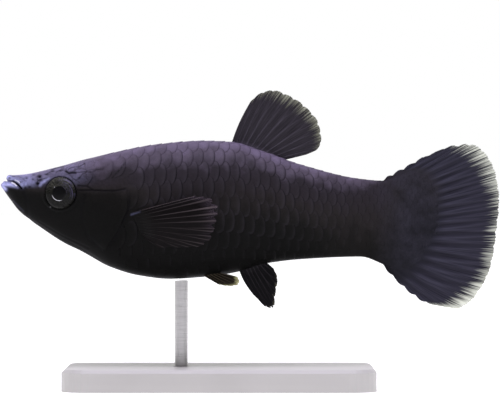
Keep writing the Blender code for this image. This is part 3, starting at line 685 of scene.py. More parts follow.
def make_scales(skin, material):
    points, faces, rims, shows, tones, us, vs, on_right = grow_scales(skin)
    for name, chosen in (("scales_left", ~on_right), ("scales_right", on_right)):
        own = faces[chosen]
        used = np.unique(own)
        order = np.zeros(len(points), int)
        order[used] = np.arange(len(used))
        piece = mesh_piece(name, points[used], order[own].tolist(), material)
        tag(piece, rim=rims[used], show=shows[used], tone=tones[used], **markings(points[used]))
        unwrap(piece, us[used], np.clip(vs[used], 0.0, 1.0))


# Fins


@dataclass
class Fin:
    """How one fin is made.

    across and along count its points from ray to ray and from root to margin. web and ray are half
    thicknesses, breadth and tip a ray's half widths at root and margin in ray spacings. notch and fringe
    are how far the margin draws in between rays and frays. band and cream give the width and the strength
    of the pale clear margin, whose cream is partly the web's own tint and partly painted light shining
    through it. split says where the rays fork, fork how far, and loose how much further in the lower half.
    glow and rest are how pale the rays and the web between them look.
    """

    rays: int
    across: int
    along: int
    notch: float
    fringe: float
    band: list
    cream: list
    glow: object
    web: float = 0.08
    ray: float = 0.13
    breadth: float = 0.14
    split: tuple = (0.5, 0.8)
    rest: float = 0.0
    fork: tuple = (0.24, 0.115)
    tip: float = 0.07
    loose: float = 0.0


def branches(fin, share, reach):
    """Distance across, in ray spacings, to the nearest branch of a ray, and to the ray's own middle."""
    number = share * (fin.rays - 1)
    off = number - np.round(number)
    first = (fin.fork[0] + fin.loose * ease(0.5, 0.7, share)) * ease(fin.split[0], 0.95, reach)
    second = fin.fork[1] * ease(fin.split[1], 1.05, reach)
    nearest = np.full(off.shape, np.inf)
    for a in (-1, 1):
        for b in (-1, 1):
            nearest = np.minimum(nearest, np.abs(off - a * first - b * second))
    return nearest, off


def rooted_share(fin, share, reach):
    """How far the body's own colour runs out over a fin, 1 at its root."""
    if fin is CAUDAL:
        return fall(-0.02, 0.13, past_lobe(share, reach))
    if fin is PECTORAL:
        return 0.85 * fall(0.02, 0.3, reach)
    return 0.15 * fall(0.0, 0.1, reach)


def make_fin(name, fin, surface, material, nodes, flesh=None):
    """A closed thin web round surface(share, reach), with branching rays raised in both its faces."""
    columns = (fin.rays - 1) * fin.across + 1
    share = np.linspace(0.0, 1.0, columns)[:, None]
    reach = np.linspace(0.0, 1.0, fin.along)[None, :] ** 0.9
    ends, off = branches(fin, share, np.ones((1, 1)))
    wander = np.convolve(rng.uniform(-1.0, 1.0, columns), np.ones(5) / 5, mode="same")[:, None]
    length = 1.0 - fin.notch * (2 * np.abs(off)) ** 2.5 - fin.fringe * (ease(0.02, 0.11, ends) - wander)
    share, reach = np.broadcast_arrays(share, reach)
    middle = surface(share, reach * length)
    nearest, _ = branches(fin, share, reach)
    ridge = hump(nearest, fin.breadth * (1 - reach) + fin.tip * reach)
    half = fin.web * (1 - 0.5 * reach) + fin.ray * ridge * (1 - 0.8 * reach)
    half = half * (1 - ease(0.97, 1.0, reach) * 0.75)
    if flesh is not None:
        half = np.maximum(half, flesh(share, reach))
    normal = np.cross(np.gradient(middle, axis=0), np.gradient(middle, axis=1))
    normal /= np.maximum(np.linalg.norm(normal, axis=2), 1e-9)[:, :, None]
    lift = normal * half[:, :, None]
    points = np.concatenate([(middle + lift).reshape(-1, 3), (middle - lift).reshape(-1, 3)])
    faces = plate_faces(np.arange(share.size).reshape(share.shape).T, [0, 3, 2, 1])
    piece = mesh_piece(name, points, np.concatenate(faces).tolist(), material)
    spread = np.linalg.norm(middle[:, -1] - middle[:, 0], axis=1)[:, None]
    fade = 1 - np.clip((1 - reach) * spread / smooth_profile(fin.band)(share), 0.0, 1.0)
    weight = fin.glow(share, reach)
    values = {
        "fade": fade * smooth_profile(fin.cream)(share),
        "ridge": ridge * weight + fin.rest * (1 - weight),
        "streak": share * (fin.rays - 1),
        "reach": reach,
        "rooted": rooted_share(fin, share, reach),
    }
    tag(piece, **{key: np.tile(value.ravel(), 2) for key, value in values.items()})
    tag(piece, **markings(points))
    page = np.repeat([0.0, 0.5], share.size)
    across = page + 0.01 + 0.47 * np.tile(share.ravel(), 2)
    unwrap(piece, 0.01 + 0.98 * np.tile(reach.ravel(), 2), across, len(faces[-1]))
    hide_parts(*nodes)


# Roots, and points of the margins after the share of the fin that each belongs to
DORSAL_ROOT = (41.6, 50.8)
DORSAL_MARGIN = [
    (0.0, 45.1, 17.8), (0.1, 46.9, 19.3), (0.22, 49.1, 19.85), (0.36, 52.0, 18.9), (0.52, 55.1, 16.8),
    (0.68, 57.4, 13.8), (0.84, 57.9, 10.8), (0.93, 57.1, 9.1), (1.0, 55.2, 8.2),
]
ANAL_ROOT = (43.0, 47.8)
ANAL_MARGIN = [
    (0.0, 45.6, -17.1), (0.2, 48.2, -19.5), (0.4, 49.3, -19.5), (0.6, 49.6, -17.2), (0.8, 50.0, -14.3),
    (1.0, 49.3, -12.4),
]
UPRIGHT_BOW = 0.3
UPRIGHT_WAVE = 0.12
CAUDAL_LOWER_BOW = 0.8
CAUDAL_WAVE = 0.2
CAUDAL_EDGE_STEP = 0.4
CAUDAL_SCALLOP = 0.3
CAUDAL_SCALLOP_SHARE = 0.045
CAUDAL_SUNK = 0.25
PECTORAL_ROOT = [(23.9, -2.3), (25.5, -6.2)]
PECTORAL_MARGIN = [
    (0.0, 35.2, 0.7), (0.15, 37.4, 0.5), (0.32, 39.3, -1.4), (0.5, 39.0, -3.7), (0.7, 38.1, -6.8),
    (0.84, 35.4, -8.35), (1.0, 28.6, -8.5),
]
PECTORAL_SUNK = 0.3
PECTORAL_RISE = 1.1
PECTORAL_RISE_SPAN = 3.4
PECTORAL_SPREAD = 0.24
PECTORAL_CUP = 1.0
PELVIC_ROOT = (36.3, 39.0)
PELVIC_MARGIN = [
    (0.0, 39.4, -15.2), (0.35, 41.3, -15.45), (0.6, 42.7, -15.3), (0.85, 43.1, -14.6), (1.0, 42.7, -13.9),
]
PELVIC_ROOT_SIDE = 1.6
PELVIC_SPREAD = 0.45
FIN_SUNK = 0.5


def even_glow(share, reach):
    outer = np.maximum(1 - ease(0.02, 0.3, share), ease(0.72, 0.98, share))
    return (1 - 0.6 * ease(0.3, 0.95, reach)) * (1 - 0.45 * outer)


def rear_glow(share, reach):
    return (0.35 + 0.65 * ease(0.05, 0.3, share)) * (1 - 0.3 * reach) * (1 - 0.6 * ease(0.35, 0.8, reach))


def tip_glow(share, reach):
    lead = hump(share, 0.04) * (0.7 + 0.3 * ease(0.5, 1.0, reach))
    low = (0.36 + 0.64 * fall(0.3, 0.62, share)) * (1 - 0.65 * ease(0.8, 1.0, share))
    own = 0.82 + 0.18 * np.sin(2.6 * np.round(10 * share))
    return np.maximum(lead, own * low * (0.18 + 0.46 * ease(0.5, 1.0, reach) ** 2) * ease(0.1, 0.35, reach))


CAUDAL = Fin(
    CAUDAL_RAYS, 20, 84, web=0.09, ray=0.12, notch=0.008, fringe=0.005,
    band=[
        (0.0, 0.6), (0.07, 1.2), (0.13, 4.4), (0.24, 4.3), (0.36, 3.6), (0.5, 3.0), (0.62, 2.9),
        (0.72, 2.9), (0.8, 3.0), (0.9, 4.1), (0.96, 2.9), (1.0, 1.3),
    ],
    cream=[
        (0.0, 0.2), (0.08, 0.4), (0.16, 0.64), (0.3, 0.66), (0.42, 0.54), (0.5, 0.46), (0.62, 0.45),
        (0.74, 0.52), (0.84, 0.7), (0.92, 0.88), (1.0, 0.7),
    ],
    breadth=0.34, split=(0.3, 0.62), glow=even_glow, rest=0.52,
)
DORSAL = Fin(
    12, 20, 64, ray=0.08, notch=0.022, fringe=0.003,
    band=[(0.0, 1.4), (0.3, 3.0), (0.7, 2.6), (1.0, 1.6)],
    cream=[(0.0, 0.36), (0.4, 0.54), (0.7, 0.56), (1.0, 0.42)], breadth=0.12, glow=rear_glow,
)
PECTORAL = Fin(
    11, 24, 60, web=0.06, ray=0.08, notch=0.06, fringe=0.004, band=[(0.0, 3.0), (0.35, 4.5), (1.0, 2.0)],
    cream=[(0.0, 0.6), (0.4, 0.5), (1.0, 0.1)], breadth=0.07, split=(0.3, 0.8), glow=tip_glow,
    fork=(0.06, 0.0), tip=0.045, loose=0.17,
)
ANAL = Fin(
    9, 14, 40, notch=0.04, fringe=0.008, band=[(0.0, 0.5), (0.5, 0.9), (1.0, 0.5)],
    cream=[(0.0, 0.3), (1.0, 0.3)], glow=rear_glow,
)
PELVIC = Fin(
    6, 14, 36, notch=0.03, fringe=0.01, band=[(0.0, 0.4), (0.5, 1.1), (1.0, 1.3)],
    cream=[(0.0, 0.6), (1.0, 0.9)], glow=rear_glow,
)


def upright_surface(root, margin, edge, sunk):
    """The middle of a fin on the midline, whose root lies sunk into the edge of the back or belly."""
    margin_x, margin_z = margin_curve(margin)

    def surface(share, reach):
        x = root[0] + (root[1] - root[0]) * share
        start = np.stack([x, np.zeros_like(x), edge(x) - sunk], 2)
        end = np.stack([margin_x(share), np.zeros_like(x), margin_z(share)], 2)
        spots = start + (end - start) * reach[:, :, None]
        spots[:, :, 0] -= UPRIGHT_BOW * np.sin(math.pi * reach) * (1 - share)
        spots[:, :, 1] += UPRIGHT_WAVE * np.sin(5.0 * share + 1.0) * reach**2
        return spots

    return surface


def caudal_surface(share, reach):
    """The middle of the tail fin, softly waved, with small steps along its edges and a scalloped top."""
    margin_x, margin_z = margin_curve(CAUDAL_MARGIN)
    top, low = back(CAUDAL_ROOT_X) - CAUDAL_SUNK, belly(CAUDAL_ROOT_X) + CAUDAL_SUNK
    flat = np.zeros(share.shape)
    start = np.stack([flat + CAUDAL_ROOT_X, flat, top + (low - top) * share], 2)
    end = np.stack([margin_x(share), flat, margin_z(share)], 2)
    spots = start + (end - start) * reach[:, :, None]
    spots[:, :, 2] -= CAUDAL_LOWER_BOW * np.sin(math.pi * reach) * share**3
    spots[:, :, 1] += CAUDAL_WAVE * np.sin(9.0 * share) * np.clip(reach - 0.45, 0.0, 1.0)
    between = ease(0.02, 0.12, reach) * fall(0.85, 1.0, reach)
    bumps = CAUDAL_EDGE_STEP * np.abs(np.sin(4.5 * math.pi * reach)) * between
    spots[:, :, 2] += bumps * (hump(share, 0.03) - hump(1 - share, 0.03))
    scallops = CAUDAL_SCALLOP * (np.abs(np.sin(math.pi * share / CAUDAL_SCALLOP_SHARE)) - 0.6)
    spots[:, :, 2] += scallops * fall(0.13, 0.17, share) * ease(0.8, 1.0, reach)
    return spots


def pectoral_surface(side):
    """The middle of a breast fin, which leaves the flank steeply and is cupped like a hand."""
    margin_x, margin_z = margin_curve(PECTORAL_MARGIN)
    (first_x, first_z), (last_x, last_z) = PECTORAL_ROOT

    def surface(share, reach):
        x, z = first_x + (last_x - first_x) * share, first_z + (last_z - first_z) * share
        end_x, end_z = margin_x(share), margin_z(share)
        out = np.hypot(end_x - x, end_z - z) * reach
        cup = PECTORAL_CUP * np.sin(math.pi * np.minimum(reach * 0.8, 1.0)) * np.sin(math.pi * share)
        y = side_at(x, z) - PECTORAL_SUNK + PECTORAL_RISE * ease(0.0, PECTORAL_RISE_SPAN, out)
        y = side * (y + PECTORAL_SPREAD * out + cup)
        return np.stack([x + (end_x - x) * reach, y, z + (end_z - z) * reach], 2)

    return surface


def pelvic_surface(side):
    margin_x, margin_z = margin_curve(PELVIC_MARGIN)

    def surface(share, reach):
        x = PELVIC_ROOT[0] + (PELVIC_ROOT[1] - PELVIC_ROOT[0]) * share
        z = belly_at(x, PELVIC_ROOT_SIDE) + FIN_SUNK
        end_x, end_z = margin_x(share), margin_z(share)
        y = PELVIC_ROOT_SIDE + PELVIC_SPREAD * np.hypot(end_x - x, end_z - z) * reach
        return np.stack([x + (end_x - x) * reach, side * y, z + (end_z - z) * reach], 2)

    return surface


def fleshy_root(thick, end):
    """Flesh round the feet of the rays, thinning out towards end."""

    def flesh(share, reach):
        return thick * np.sin(math.pi * np.clip(share, 0.04, 0.96)) ** 0.5 * fall(0.0, end, reach)

    return flesh


def make_fins():
    tail_web = make_web_material("tail_fin_web", "#1e1d24", "#393844", "#dfe3d0", 1.9)
    back_web = make_web_material("back_fin_web", "#2e2b30", "#433f47", "#94967f", 1.5)
    breast_web = make_web_material("breast_fin_web", "#0f0d0d", "#827678", "#463d46", 0.6)
    # The vent fin's web is darker than the back fin's, partly its own black and partly painted shade, as it
    # hangs below the body
    vent_web = make_web_material("vent_fin_web", "#111012", "#2d2a2d", "#b5b294", 1.6)
    belly_web = make_web_material("belly_fin_web", "#231f19", "#5a5244", "#cbc890", 1.6)
    dorsal = upright_surface(DORSAL_ROOT, DORSAL_MARGIN, back, FIN_SUNK)
    anal = upright_surface(ANAL_ROOT, ANAL_MARGIN, belly, -FIN_SUNK)
    breast_flesh, belly_flesh = fleshy_root(0.16, 0.12), fleshy_root(0.4, 0.3)
    make_fin("tail_fin", CAUDAL, caudal_surface, tail_web, ["caudal_fin"])
    make_fin("back_fin", DORSAL, dorsal, back_web, ["dorsal_fin"], fleshy_root(0.5, 0.14))
    make_fin("vent_fin", ANAL, anal, vent_web, ["anal_fin"], fleshy_root(0.5, 0.2))
    for word, side in SIDES:
        nodes = [f"pectoral_fin_{word}"]
        make_fin(f"breast_fin_{word}", PECTORAL, pectoral_surface(side), breast_web, nodes, breast_flesh)
        nodes = [f"pelvic_fin_{word}"]
        make_fin(f"belly_fin_{word}", PELVIC, pelvic_surface(side), belly_web, nodes, belly_flesh)


# Eyes

PUPIL_RADIUS = 1.26
LENS_RISE = 0.04
EYE_RINGS = 56
EYE_COUNT = 96
EYE_FULLNESS = 3.8
EYE_BACK_SHARE = 0.8
SLOPE_STEP = 0.2


def outward(x, z, side):
    """The direction out of the body's side at x, z."""
    slope_x = (side_at(x + SLOPE_STEP, z) - side_at(x - SLOPE_STEP, z)) / (2 * SLOPE_STEP)
    slope_z = (side_at(x, z + SLOPE_STEP) - side_at(x, z - SLOPE_STEP)) / (2 * SLOPE_STEP)
    way = np.array([-slope_x, side, -slope_z])
    return way / np.linalg.norm(way)


def make_eye(name, side, material, node):
    """A low dome with the lens standing a little out of the pupil, rounded off behind."""
    x, z = EYE_CENTRE
    way = outward(x, z, side)
    centre = np.array([x, side * side_at(x, z), z]) - way * (EYE_HALF_DEPTH - EYE_BULGE)
    forward = np.cross([0.0, 0.0, 1.0], way)
    forward = -forward / np.linalg.norm(forward) * np.sign(forward[0])
    up = np.array([0.0, 0.0, 1.0]) - way * way[2]
    up /= np.linalg.norm(up)
    front_turns = np.linspace(0.0, math.pi / 2, EYE_RINGS)
    back_turns = np.linspace(math.pi / 2, math.pi, EYE_RINGS // 3)[1:]
    share = np.sin(np.concatenate([front_turns, back_turns]))
    front = np.arange(len(share)) < EYE_RINGS
    power = np.where(front, EYE_FULLNESS, 2.0)
    rise = EYE_HALF_DEPTH * np.clip(1 - share**power, 0.0, 1.0) ** (1 / power)
    rise *= np.where(front, 1.0, -EYE_BACK_SHARE)
    radius = share * EYE_RADIUS
    lens = LENS_RISE * fall(0.85 * PUPIL_RADIUS, 1.1 * PUPIL_RADIUS, radius)
    rise = rise + np.where(front, lens, 0.0)
    turns = np.arange(EYE_COUNT) * TURN / EYE_COUNT
    spokes = np.cos(turns)[:, None] * forward + np.sin(turns)[:, None] * up
    rings = [centre + way * h + spokes * r for r, h in zip(radius[1:-1], rise[1:-1])]
    points = np.concatenate([*rings, [centre + way * rise[0]], [centre + way * rise[-1]]])
    tip = len(rings) * EYE_COUNT
    last_ring = tip - EYE_COUNT
    faces = net_faces(round_net(len(rings), EYE_COUNT))[:, [1, 0, 3, 2]].tolist()
    for j in range(EYE_COUNT):
        k = (j + 1) % EYE_COUNT
        faces.append((tip, j, k))
        faces.append((tip + 1, last_ring + k, last_ring + j))
    if side < 0:
        faces = [face[::-1] for face in faces]
    piece = mesh_piece(name, points, faces, material)
    off = points - centre
    ahead, above = off @ forward, off @ up
    tag(piece, across=ahead, above=above)
    flat = np.stack([ahead, above], 1) / (2.1 * EYE_RADIUS)
    page = np.where(off @ way < -0.01, 0.75, 0.25)
    unwrap(piece, 0.5 + flat[:, 0], page + flat[:, 1] * 0.48)
    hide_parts(node)


# Materials

# Mirror shine of lacquer and steel, and the little that is left of it on skin, web, eye and paper
FULL_SHINE = 0.5
FAINT_SHINE = 0.06
# Shades of the body from belly to back: near black low down, and towards the back a violet grey that is
# painted sheen of the overhead light
BODY_SHADES = [
    (0.0, "#090908"), (0.3, "#0e0e0d"), (0.43, "#151413"), (0.57, "#242121"), (0.79, "#2a262b"),
    (0.92, "#544c5a"), (1.0, "#6c6277"),
]


# Unless told otherwise, a Mix node mixes colours and a Math node multiplies
USUAL = {"Mix": {"data_type": "RGBA"}, "Math": {"operation": "MULTIPLY"}}


def ink(code):
    """An sRGB hex value as linear colour."""
    shares = [int(code[i:i + 2], 16) / 255 for i in (1, 3, 5)]
    linear = [s / 12.92 if s <= 0.04045 else ((s + 0.055) / 1.055) ** 2.4 for s in shares]
    return (*linear, 1.0)


def feed(tree, node, values):
    """Links or sets each input of a node, by its name or number."""
    for name, value in values.items():
        if isinstance(value, bpy.types.NodeSocket):
            tree.links.new(value, node.inputs[name])
        else:
            node.inputs[name].default_value = value


def add(tree, kind, *values, out=None, **settings):
    """A node with its settings, and with the inputs that it then uses linked or set, in order or by name.

    It gives back the output named, or else the first that the node then uses.
    """
    node = tree.nodes.new("ShaderNode" + kind)
    settings = {**USUAL.get(kind, {}), **settings}
    named = {name: settings.pop(name) for name in list(settings) if name in node.inputs}
    for name, value in settings.items():
        setattr(node, name, value)
    used = [number for number, socket in enumerate(node.inputs) if socket.enabled]
    feed(tree, node, {**dict(zip(used, values)), **named})
    return node.outputs[out] if out else next(socket for socket in node.outputs if socket.enabled)


def fresh(name, shine=FAINT_SHINE):
    material = bpy.data.materials.new(name)
    material.use_nodes = True
    tree = material.node_tree
    shader = tree.nodes["Principled BSDF"]
    shader.inputs["Specular IOR Level"].default_value = shine
    return material, tree, shader


def body_colour(tree, mottle):
    """Black pigment under clear skin: near black below, with a painted sheen of violet grey on the back, and
    pale round the mouth, partly pale skin and partly painted highlight.
    """
    tags = ("height", "pale", "dark", "wet_highlight")
    height, pale, dark, wet_highlight = [add(tree, "Attribute", out="Fac", attribute_name=word) for word in tags]
    shifted = add(tree, "Math", mottle, 0.22, height, operation="MULTIPLY_ADD")
    colour = add(tree, "ValToRGB", shifted)
    shades = colour.node.color_ramp.elements
    for position, _ in BODY_SHADES[1:-1]:
        shades.new(position)
    for shade, (position, code) in zip(shades, BODY_SHADES):
        shade.position = position
        shade.color = ink(code)
    patchy = add(tree, "Math", mottle, 2.2, 1.0, operation="MULTIPLY_ADD")
    paleness = add(tree, "Math", pale, patchy, use_clamp=True)
    # Over it go pale lips and snout with painted highlight, dark marks of painted shade, and painted
    # highlights on the wet lips
    for weight, code in ((paleness, "#aeb0e0"), (dark, "#0b0a0c"), (wet_highlight, "#f4f4fb")):
        colour = add(tree, "Mix", weight, colour, ink(code))
    return colour


def make_skin_material():
    """Fish skin under a thin coat of mucus: soft satin gloss, with pigment cells as fine specks."""
    material, tree, shader = fresh("mucus_coated_skin")
    spot = add(tree, "TexCoord", out="Object")
    # Patches of pigment 2 to 3 mm across, and cells drawn at 0.4 mm, coarser than the real 0.05 mm
    patches = add(tree, "TexNoise", spot, 400.0, 4.0, 0.66)
    cells = add(tree, "TexNoise", spot, 2600.0, 3.0)
    mottle = add(tree, "Math", patches, 0.5, operation="SUBTRACT")
    # Wrinkled plates of the crown, some 2 mm across, with broken hair cracks between them drawn as painted
    # shade
    bent = add(tree, "TexNoise", spot, 900.0, 2.0, out="Color")
    pull = add(tree, "VectorMath", bent, (0.0009, 0.0009, 0.0009), spot, operation="MULTIPLY_ADD")
    plates = add(tree, "TexVoronoi", pull, 480.0, feature="DISTANCE_TO_EDGE")
    gap = add(tree, "MapRange", plates, 0.01, 0.07, 1.0, 0.0)
    crown = add(tree, "Attribute", out="Fac", attribute_name="crown")
    broken = add(tree, "MapRange", patches, 0.4, 0.6)
    part = add(tree, "Math", gap, broken)
    cracked = add(tree, "Math", part, crown)
    uneven = add(tree, "Math", cracked, -0.4, mottle, operation="MULTIPLY_ADD")
    speck = add(tree, "Math", cells, 1.1, 0.45, operation="MULTIPLY_ADD")
    feed(tree, shader, {
        "Base Color": add(tree, "Mix", 0.65, body_colour(tree, uneven), speck,
                          blend_type="MULTIPLY"),
        "Roughness": add(tree, "Math", patches, 0.25, 0.36, operation="MULTIPLY_ADD"),
        "Normal": add(tree, "Bump", Height=cells, Distance=0.00004, Strength=0.35),
        "IOR": 1.38,
    })
    return material


def make_scale_material():
    """Thin clear bony scales over black pigment: darker at the rear rim, partly dark margin and partly
    painted shade, with a painted sheen inside it, each a little different in tone.
    """
    material, tree, shader = fresh("clear_scale_over_pigment")
    spot = add(tree, "TexCoord", out="Object")
    tags = ("rim", "tone", "show")
    rim, tone, show = [add(tree, "Attribute", out="Fac", attribute_name=word) for word in tags]
    # Patches 2.5 mm across, and growth rings and cells drawn at 0.2 mm, as the real 0.03 mm wouldn't show
    patches = add(tree, "TexNoise", spot, 400.0, 3.0)
    cells = add(tree, "TexNoise", spot, 5000.0, 2.0)
    own = add(tree, "Math", tone, 0.06, patches, operation="MULTIPLY_ADD")
    mottle = add(tree, "Math", own, 0.5, operation="SUBTRACT")
    speck = add(tree, "Math", cells, 0.8, 0.62, operation="MULTIPLY_ADD")
    face = add(tree, "Mix", 0.6, body_colour(tree, mottle), speck, blend_type="MULTIPLY")
    # The field of each scale shows in patches: inside its rim a painted sheen lightens it, and along the rim
    # a dark line is partly its dark margin and partly painted shade
    inner = add(tree, "Math", 1.0, rim, operation="SUBTRACT")
    within = add(tree, "Math", inner, rim)
    varied = add(tree, "MapRange", patches, 0.38, 0.62, 0.3, 1.0)
    soft = add(tree, "Math", varied, show)
    lit = add(tree, "Math", within, soft)
    lighter = add(tree, "Mix", lit, face, ink("#4a464d"))
    edge = add(tree, "MapRange", rim, 0.15, 1.0, 0.0, 0.8)
    lined = add(tree, "Math", edge, soft)
    worn = add(tree, "Math", show, -0.25, 0.55, operation="MULTIPLY_ADD")
    feed(tree, shader, {
        "Base Color": add(tree, "Mix", lined, lighter, ink("#0c0b0d")),
        "Roughness": add(tree, "Math", patches, 0.25, worn, operation="MULTIPLY_ADD"),
        "Normal": add(tree, "Bump", Height=cells, Distance=0.00003, Strength=0.3),
        "IOR": 1.42,
    })
    return material


def make_web_material(name, web_code, ray_code, cream_code, wear):
    """Pigmented skin thin over bony rays: paler on the rays, with clear cream streaks at the margin, whose
    cream is partly the web's own tint and partly painted light shining through.
    """
    material, tree, shader = fresh(name)
    tags = ("fade", "ridge", "streak", "reach", "rooted")
    numbers = [add(tree, "Attribute", out="Fac", attribute_name=word) for word in tags]
    fade, ridge, streak, reach, rooted = numbers
    # Thirteen streaks from one ray to the next, about 0.15 mm apart at the margin of the tail
    across = add(tree, "Math", streak, 13.0)
    along = add(tree, "Math", reach, 2.6)
    streaks = add(tree, "TexNoise", add(tree, "CombineXYZ", across, along), 1.0, 3.0)
    web = add(tree, "Mix", ridge, ink(web_code), ink(ray_code))
    shade = add(tree, "Math", streaks, 2.0)
    streaky = add(tree, "Mix", 1.0, web, shade, blend_type="MULTIPLY")
    # Pigment worn away in streaks towards the margin, which leaves the web half clear there, with a cream
    # that is partly the web's own tint and partly painted light shining through
    swing = add(tree, "Math", streaks, wear, -0.5 * wear, operation="MULTIPLY_ADD")
    worn = add(tree, "Math", fade, 1.15, swing, operation="MULTIPLY_ADD")
    shown = add(tree, "Math", fade, 6.0, use_clamp=True)
    clear_and_backlit = add(tree, "MapRange", worn, 0.2, 1.0, interpolation_type="SMOOTHSTEP")
    pale = add(tree, "Math", clear_and_backlit, shown)
    base = add(tree, "Mix", rooted, streaky, body_colour(tree, 0.0))
    deep = add(tree, "Math", pale, pale)
    thin = add(tree, "Math", ridge, 0.3, -0.62, operation="MULTIPLY_ADD")
    feed(tree, shader, {
        "Base Color": add(tree, "Mix", pale, base, ink(cream_code)),
        "Alpha": add(tree, "Math", deep, thin, 1.0, operation="MULTIPLY_ADD"),
        "Roughness": 0.42,
        "IOR": 1.4,
    })
    return material


def make_eye_material():
    """A clear cornea over a dark olive iris, with a silver ring round the black pupil. The ring's lit
    crescent, a glint and a violet haze are painted light, and the darker rim painted shade.
    """
    material, tree, shader = fresh("cornea_over_iris")
    across, above = [add(tree, "Attribute", out="Fac", attribute_name=word) for word in ("across", "above")]
    spot = add(tree, "CombineXYZ", across, above)
    radius = add(tree, "VectorMath", spot, operation="LENGTH")
    turn = add(tree, "Math", above, across, operation="ARCTAN2")
    # Strands of the iris run out from the pupil, over a grain of 0.3 mm
    spin = add(tree, "Math", turn, 6.0)
    fibres = add(tree, "TexNoise", add(tree, "CombineXYZ", spin, radius), 1.3, 4.0)
    grain = add(tree, "TexNoise", spot, 3.6, 3.0)
    both = add(tree, "Math", fibres, grain)
    strands = add(tree, "MapRange", both, 0.14, 0.42)
    iris = add(tree, "Mix", strands, ink("#0a0a09"), ink("#22221e"))
    # Its upper part is paler, with a violet haze high behind, broken into arcs, that is a painted reflection
    rise = add(tree, "MapRange", above, -0.5, 2.4, 0.75, 4.2, interpolation_type="SMOOTHSTEP")
    iris = add(tree, "Mix", 1.0, iris, rise, blend_type="MULTIPLY")
    arcs_at = add(tree, "Math", radius, 5.0)
    arcs = add(tree, "TexNoise", add(tree, "CombineXYZ", turn, arcs_at), 1.1, 2.0)
    arc = add(tree, "MapRange", arcs, 0.5, 0.64)
    bloom = add(tree, "VectorMath", spot, (-0.42, 0.36, 0.0), operation="DOT_PRODUCT")
    haze = add(tree, "MapRange", bloom, 0.2, 1.3, 0.0, 0.22, interpolation_type="SMOOTHSTEP")
    veil = add(tree, "Math", haze, arc)
    iris = add(tree, "Mix", veil, iris, ink("#7d76a6"))
    # The silver ring is painted lit only low in front, and a painted glint sits high in front
    off = add(tree, "Math", radius, PUPIL_RADIUS + 0.1, operation="SUBTRACT")
    near = add(tree, "Math", off, operation="ABSOLUTE")
    band = add(tree, "MapRange", near, 0.01, 0.08, 1.0, 0.0, interpolation_type="SMOOTHSTEP")
    low_front = add(tree, "VectorMath", spot, (0.45, -0.9, 0.0), operation="DOT_PRODUCT")
    lit = add(tree, "MapRange", low_front, 0.8, 1.3, interpolation_type="SMOOTHSTEP")
    arc_lit = add(tree, "Math", band, lit)
    away = add(tree, "VectorMath", spot, (0.87, 1.05, 0.0), operation="DISTANCE")
    glint = add(tree, "MapRange", away, 0.02, 0.11, 0.7, 0.0)
    silver_and_glint = add(tree, "Math", arc_lit, glint, operation="MAXIMUM")
    hole = add(tree, "MapRange", radius, PUPIL_RADIUS - 0.06, PUPIL_RADIUS + 0.02, 1.0, 0.0,
               interpolation_type="SMOOTHSTEP")
    # A dark line at the rim is painted shade, strongest at the top
    rim = add(tree, "MapRange", radius, SOCKET_RADIUS, EYE_RADIUS, interpolation_type="SMOOTHSTEP")
    upper = add(tree, "MapRange", above, -2.0, 0.8, 0.3, 1.0)
    line = add(tree, "Math", rim, upper)
    for weight, code in ((silver_and_glint, "#d4d3d8"), (hole, "#0c0c0d"), (line, "#0e0e0f")):
        iris = add(tree, "Mix", weight, iris, ink(code))
    feed(tree, shader, {
        "Base Color": iris,
        "Roughness": 0.22,
        "IOR": 1.38,
        "Coat Weight": 0.09,
        "Coat Roughness": 0.04,
    })
    return material


def make_base_material():
    """Sprayed matt lacquer on board: even and pale, with a faint orange-peel ripple."""
    material, tree, shader = fresh("sprayed_lacquer", FULL_SHINE)
    spot = add(tree, "TexCoord", out="Object")
    # Orange peel about 1.2 mm from crest to crest, and cloudy coats some 15 mm across
    peel = add(tree, "TexNoise", spot, 850.0, 1.0)
    cloud = add(tree, "TexNoise", spot, 65.0, 2.0)
    feed(tree, shader, {
        "Base Color": add(tree, "Mix", cloud, ink("#b3b1ac"), ink("#c6c4bf")),
        "Roughness": add(tree, "Math", cloud, 0.15, 0.38, operation="MULTIPLY_ADD"),
        "Normal": add(tree, "Bump", Height=peel, Distance=0.00004, Strength=0.3),
    })
    return material


def make_rod_material():
    """Stainless steel brushed round the rod: fine hoops of light and dark."""
    material, tree, shader = fresh("brushed_stainless_steel", FULL_SHINE)
    # Brush marks 0.15 mm apart along the rod, wider than the real grit leaves
    spot = add(tree, "TexCoord", out="Object")
    hoops = add(tree, "Mapping", spot, Scale=(300.0, 300.0, 6600.0))
    grit = add(tree, "TexNoise", hoops, 1.0, 2.0)
    feed(tree, shader, {
        "Base Color": add(tree, "Mix", grit, ink("#a3a2a0"), ink("#d2d1cf")),
        "Roughness": add(tree, "Math", grit, 0.2, 0.22, operation="MULTIPLY_ADD"),
        "Metallic": 1.0,
    })
    return material


def make_paper_material():
    """Seamless paper, lit to white behind the fish."""
    material, tree, shader = fresh("seamless_paper")
    feed(tree, shader, {
        "Base Color": ink("#f2f2f2"),
        "Roughness": 0.9,
        "Emission Color": ink("#ffffff"),
        "Emission Strength": 0.7,
    })
    return material


def make_wall_material():
    """Matt white paint in full light."""
    material, tree, shader = fresh("matt_white_paint", 0.0)
    feed(tree, shader, {
        "Base Color": ink("#000000"),
        "Emission Color": ink("#ffffff"),
        "Emission Strength": 1.0,
    })
    return material


# Stage, lights and camera, in metres

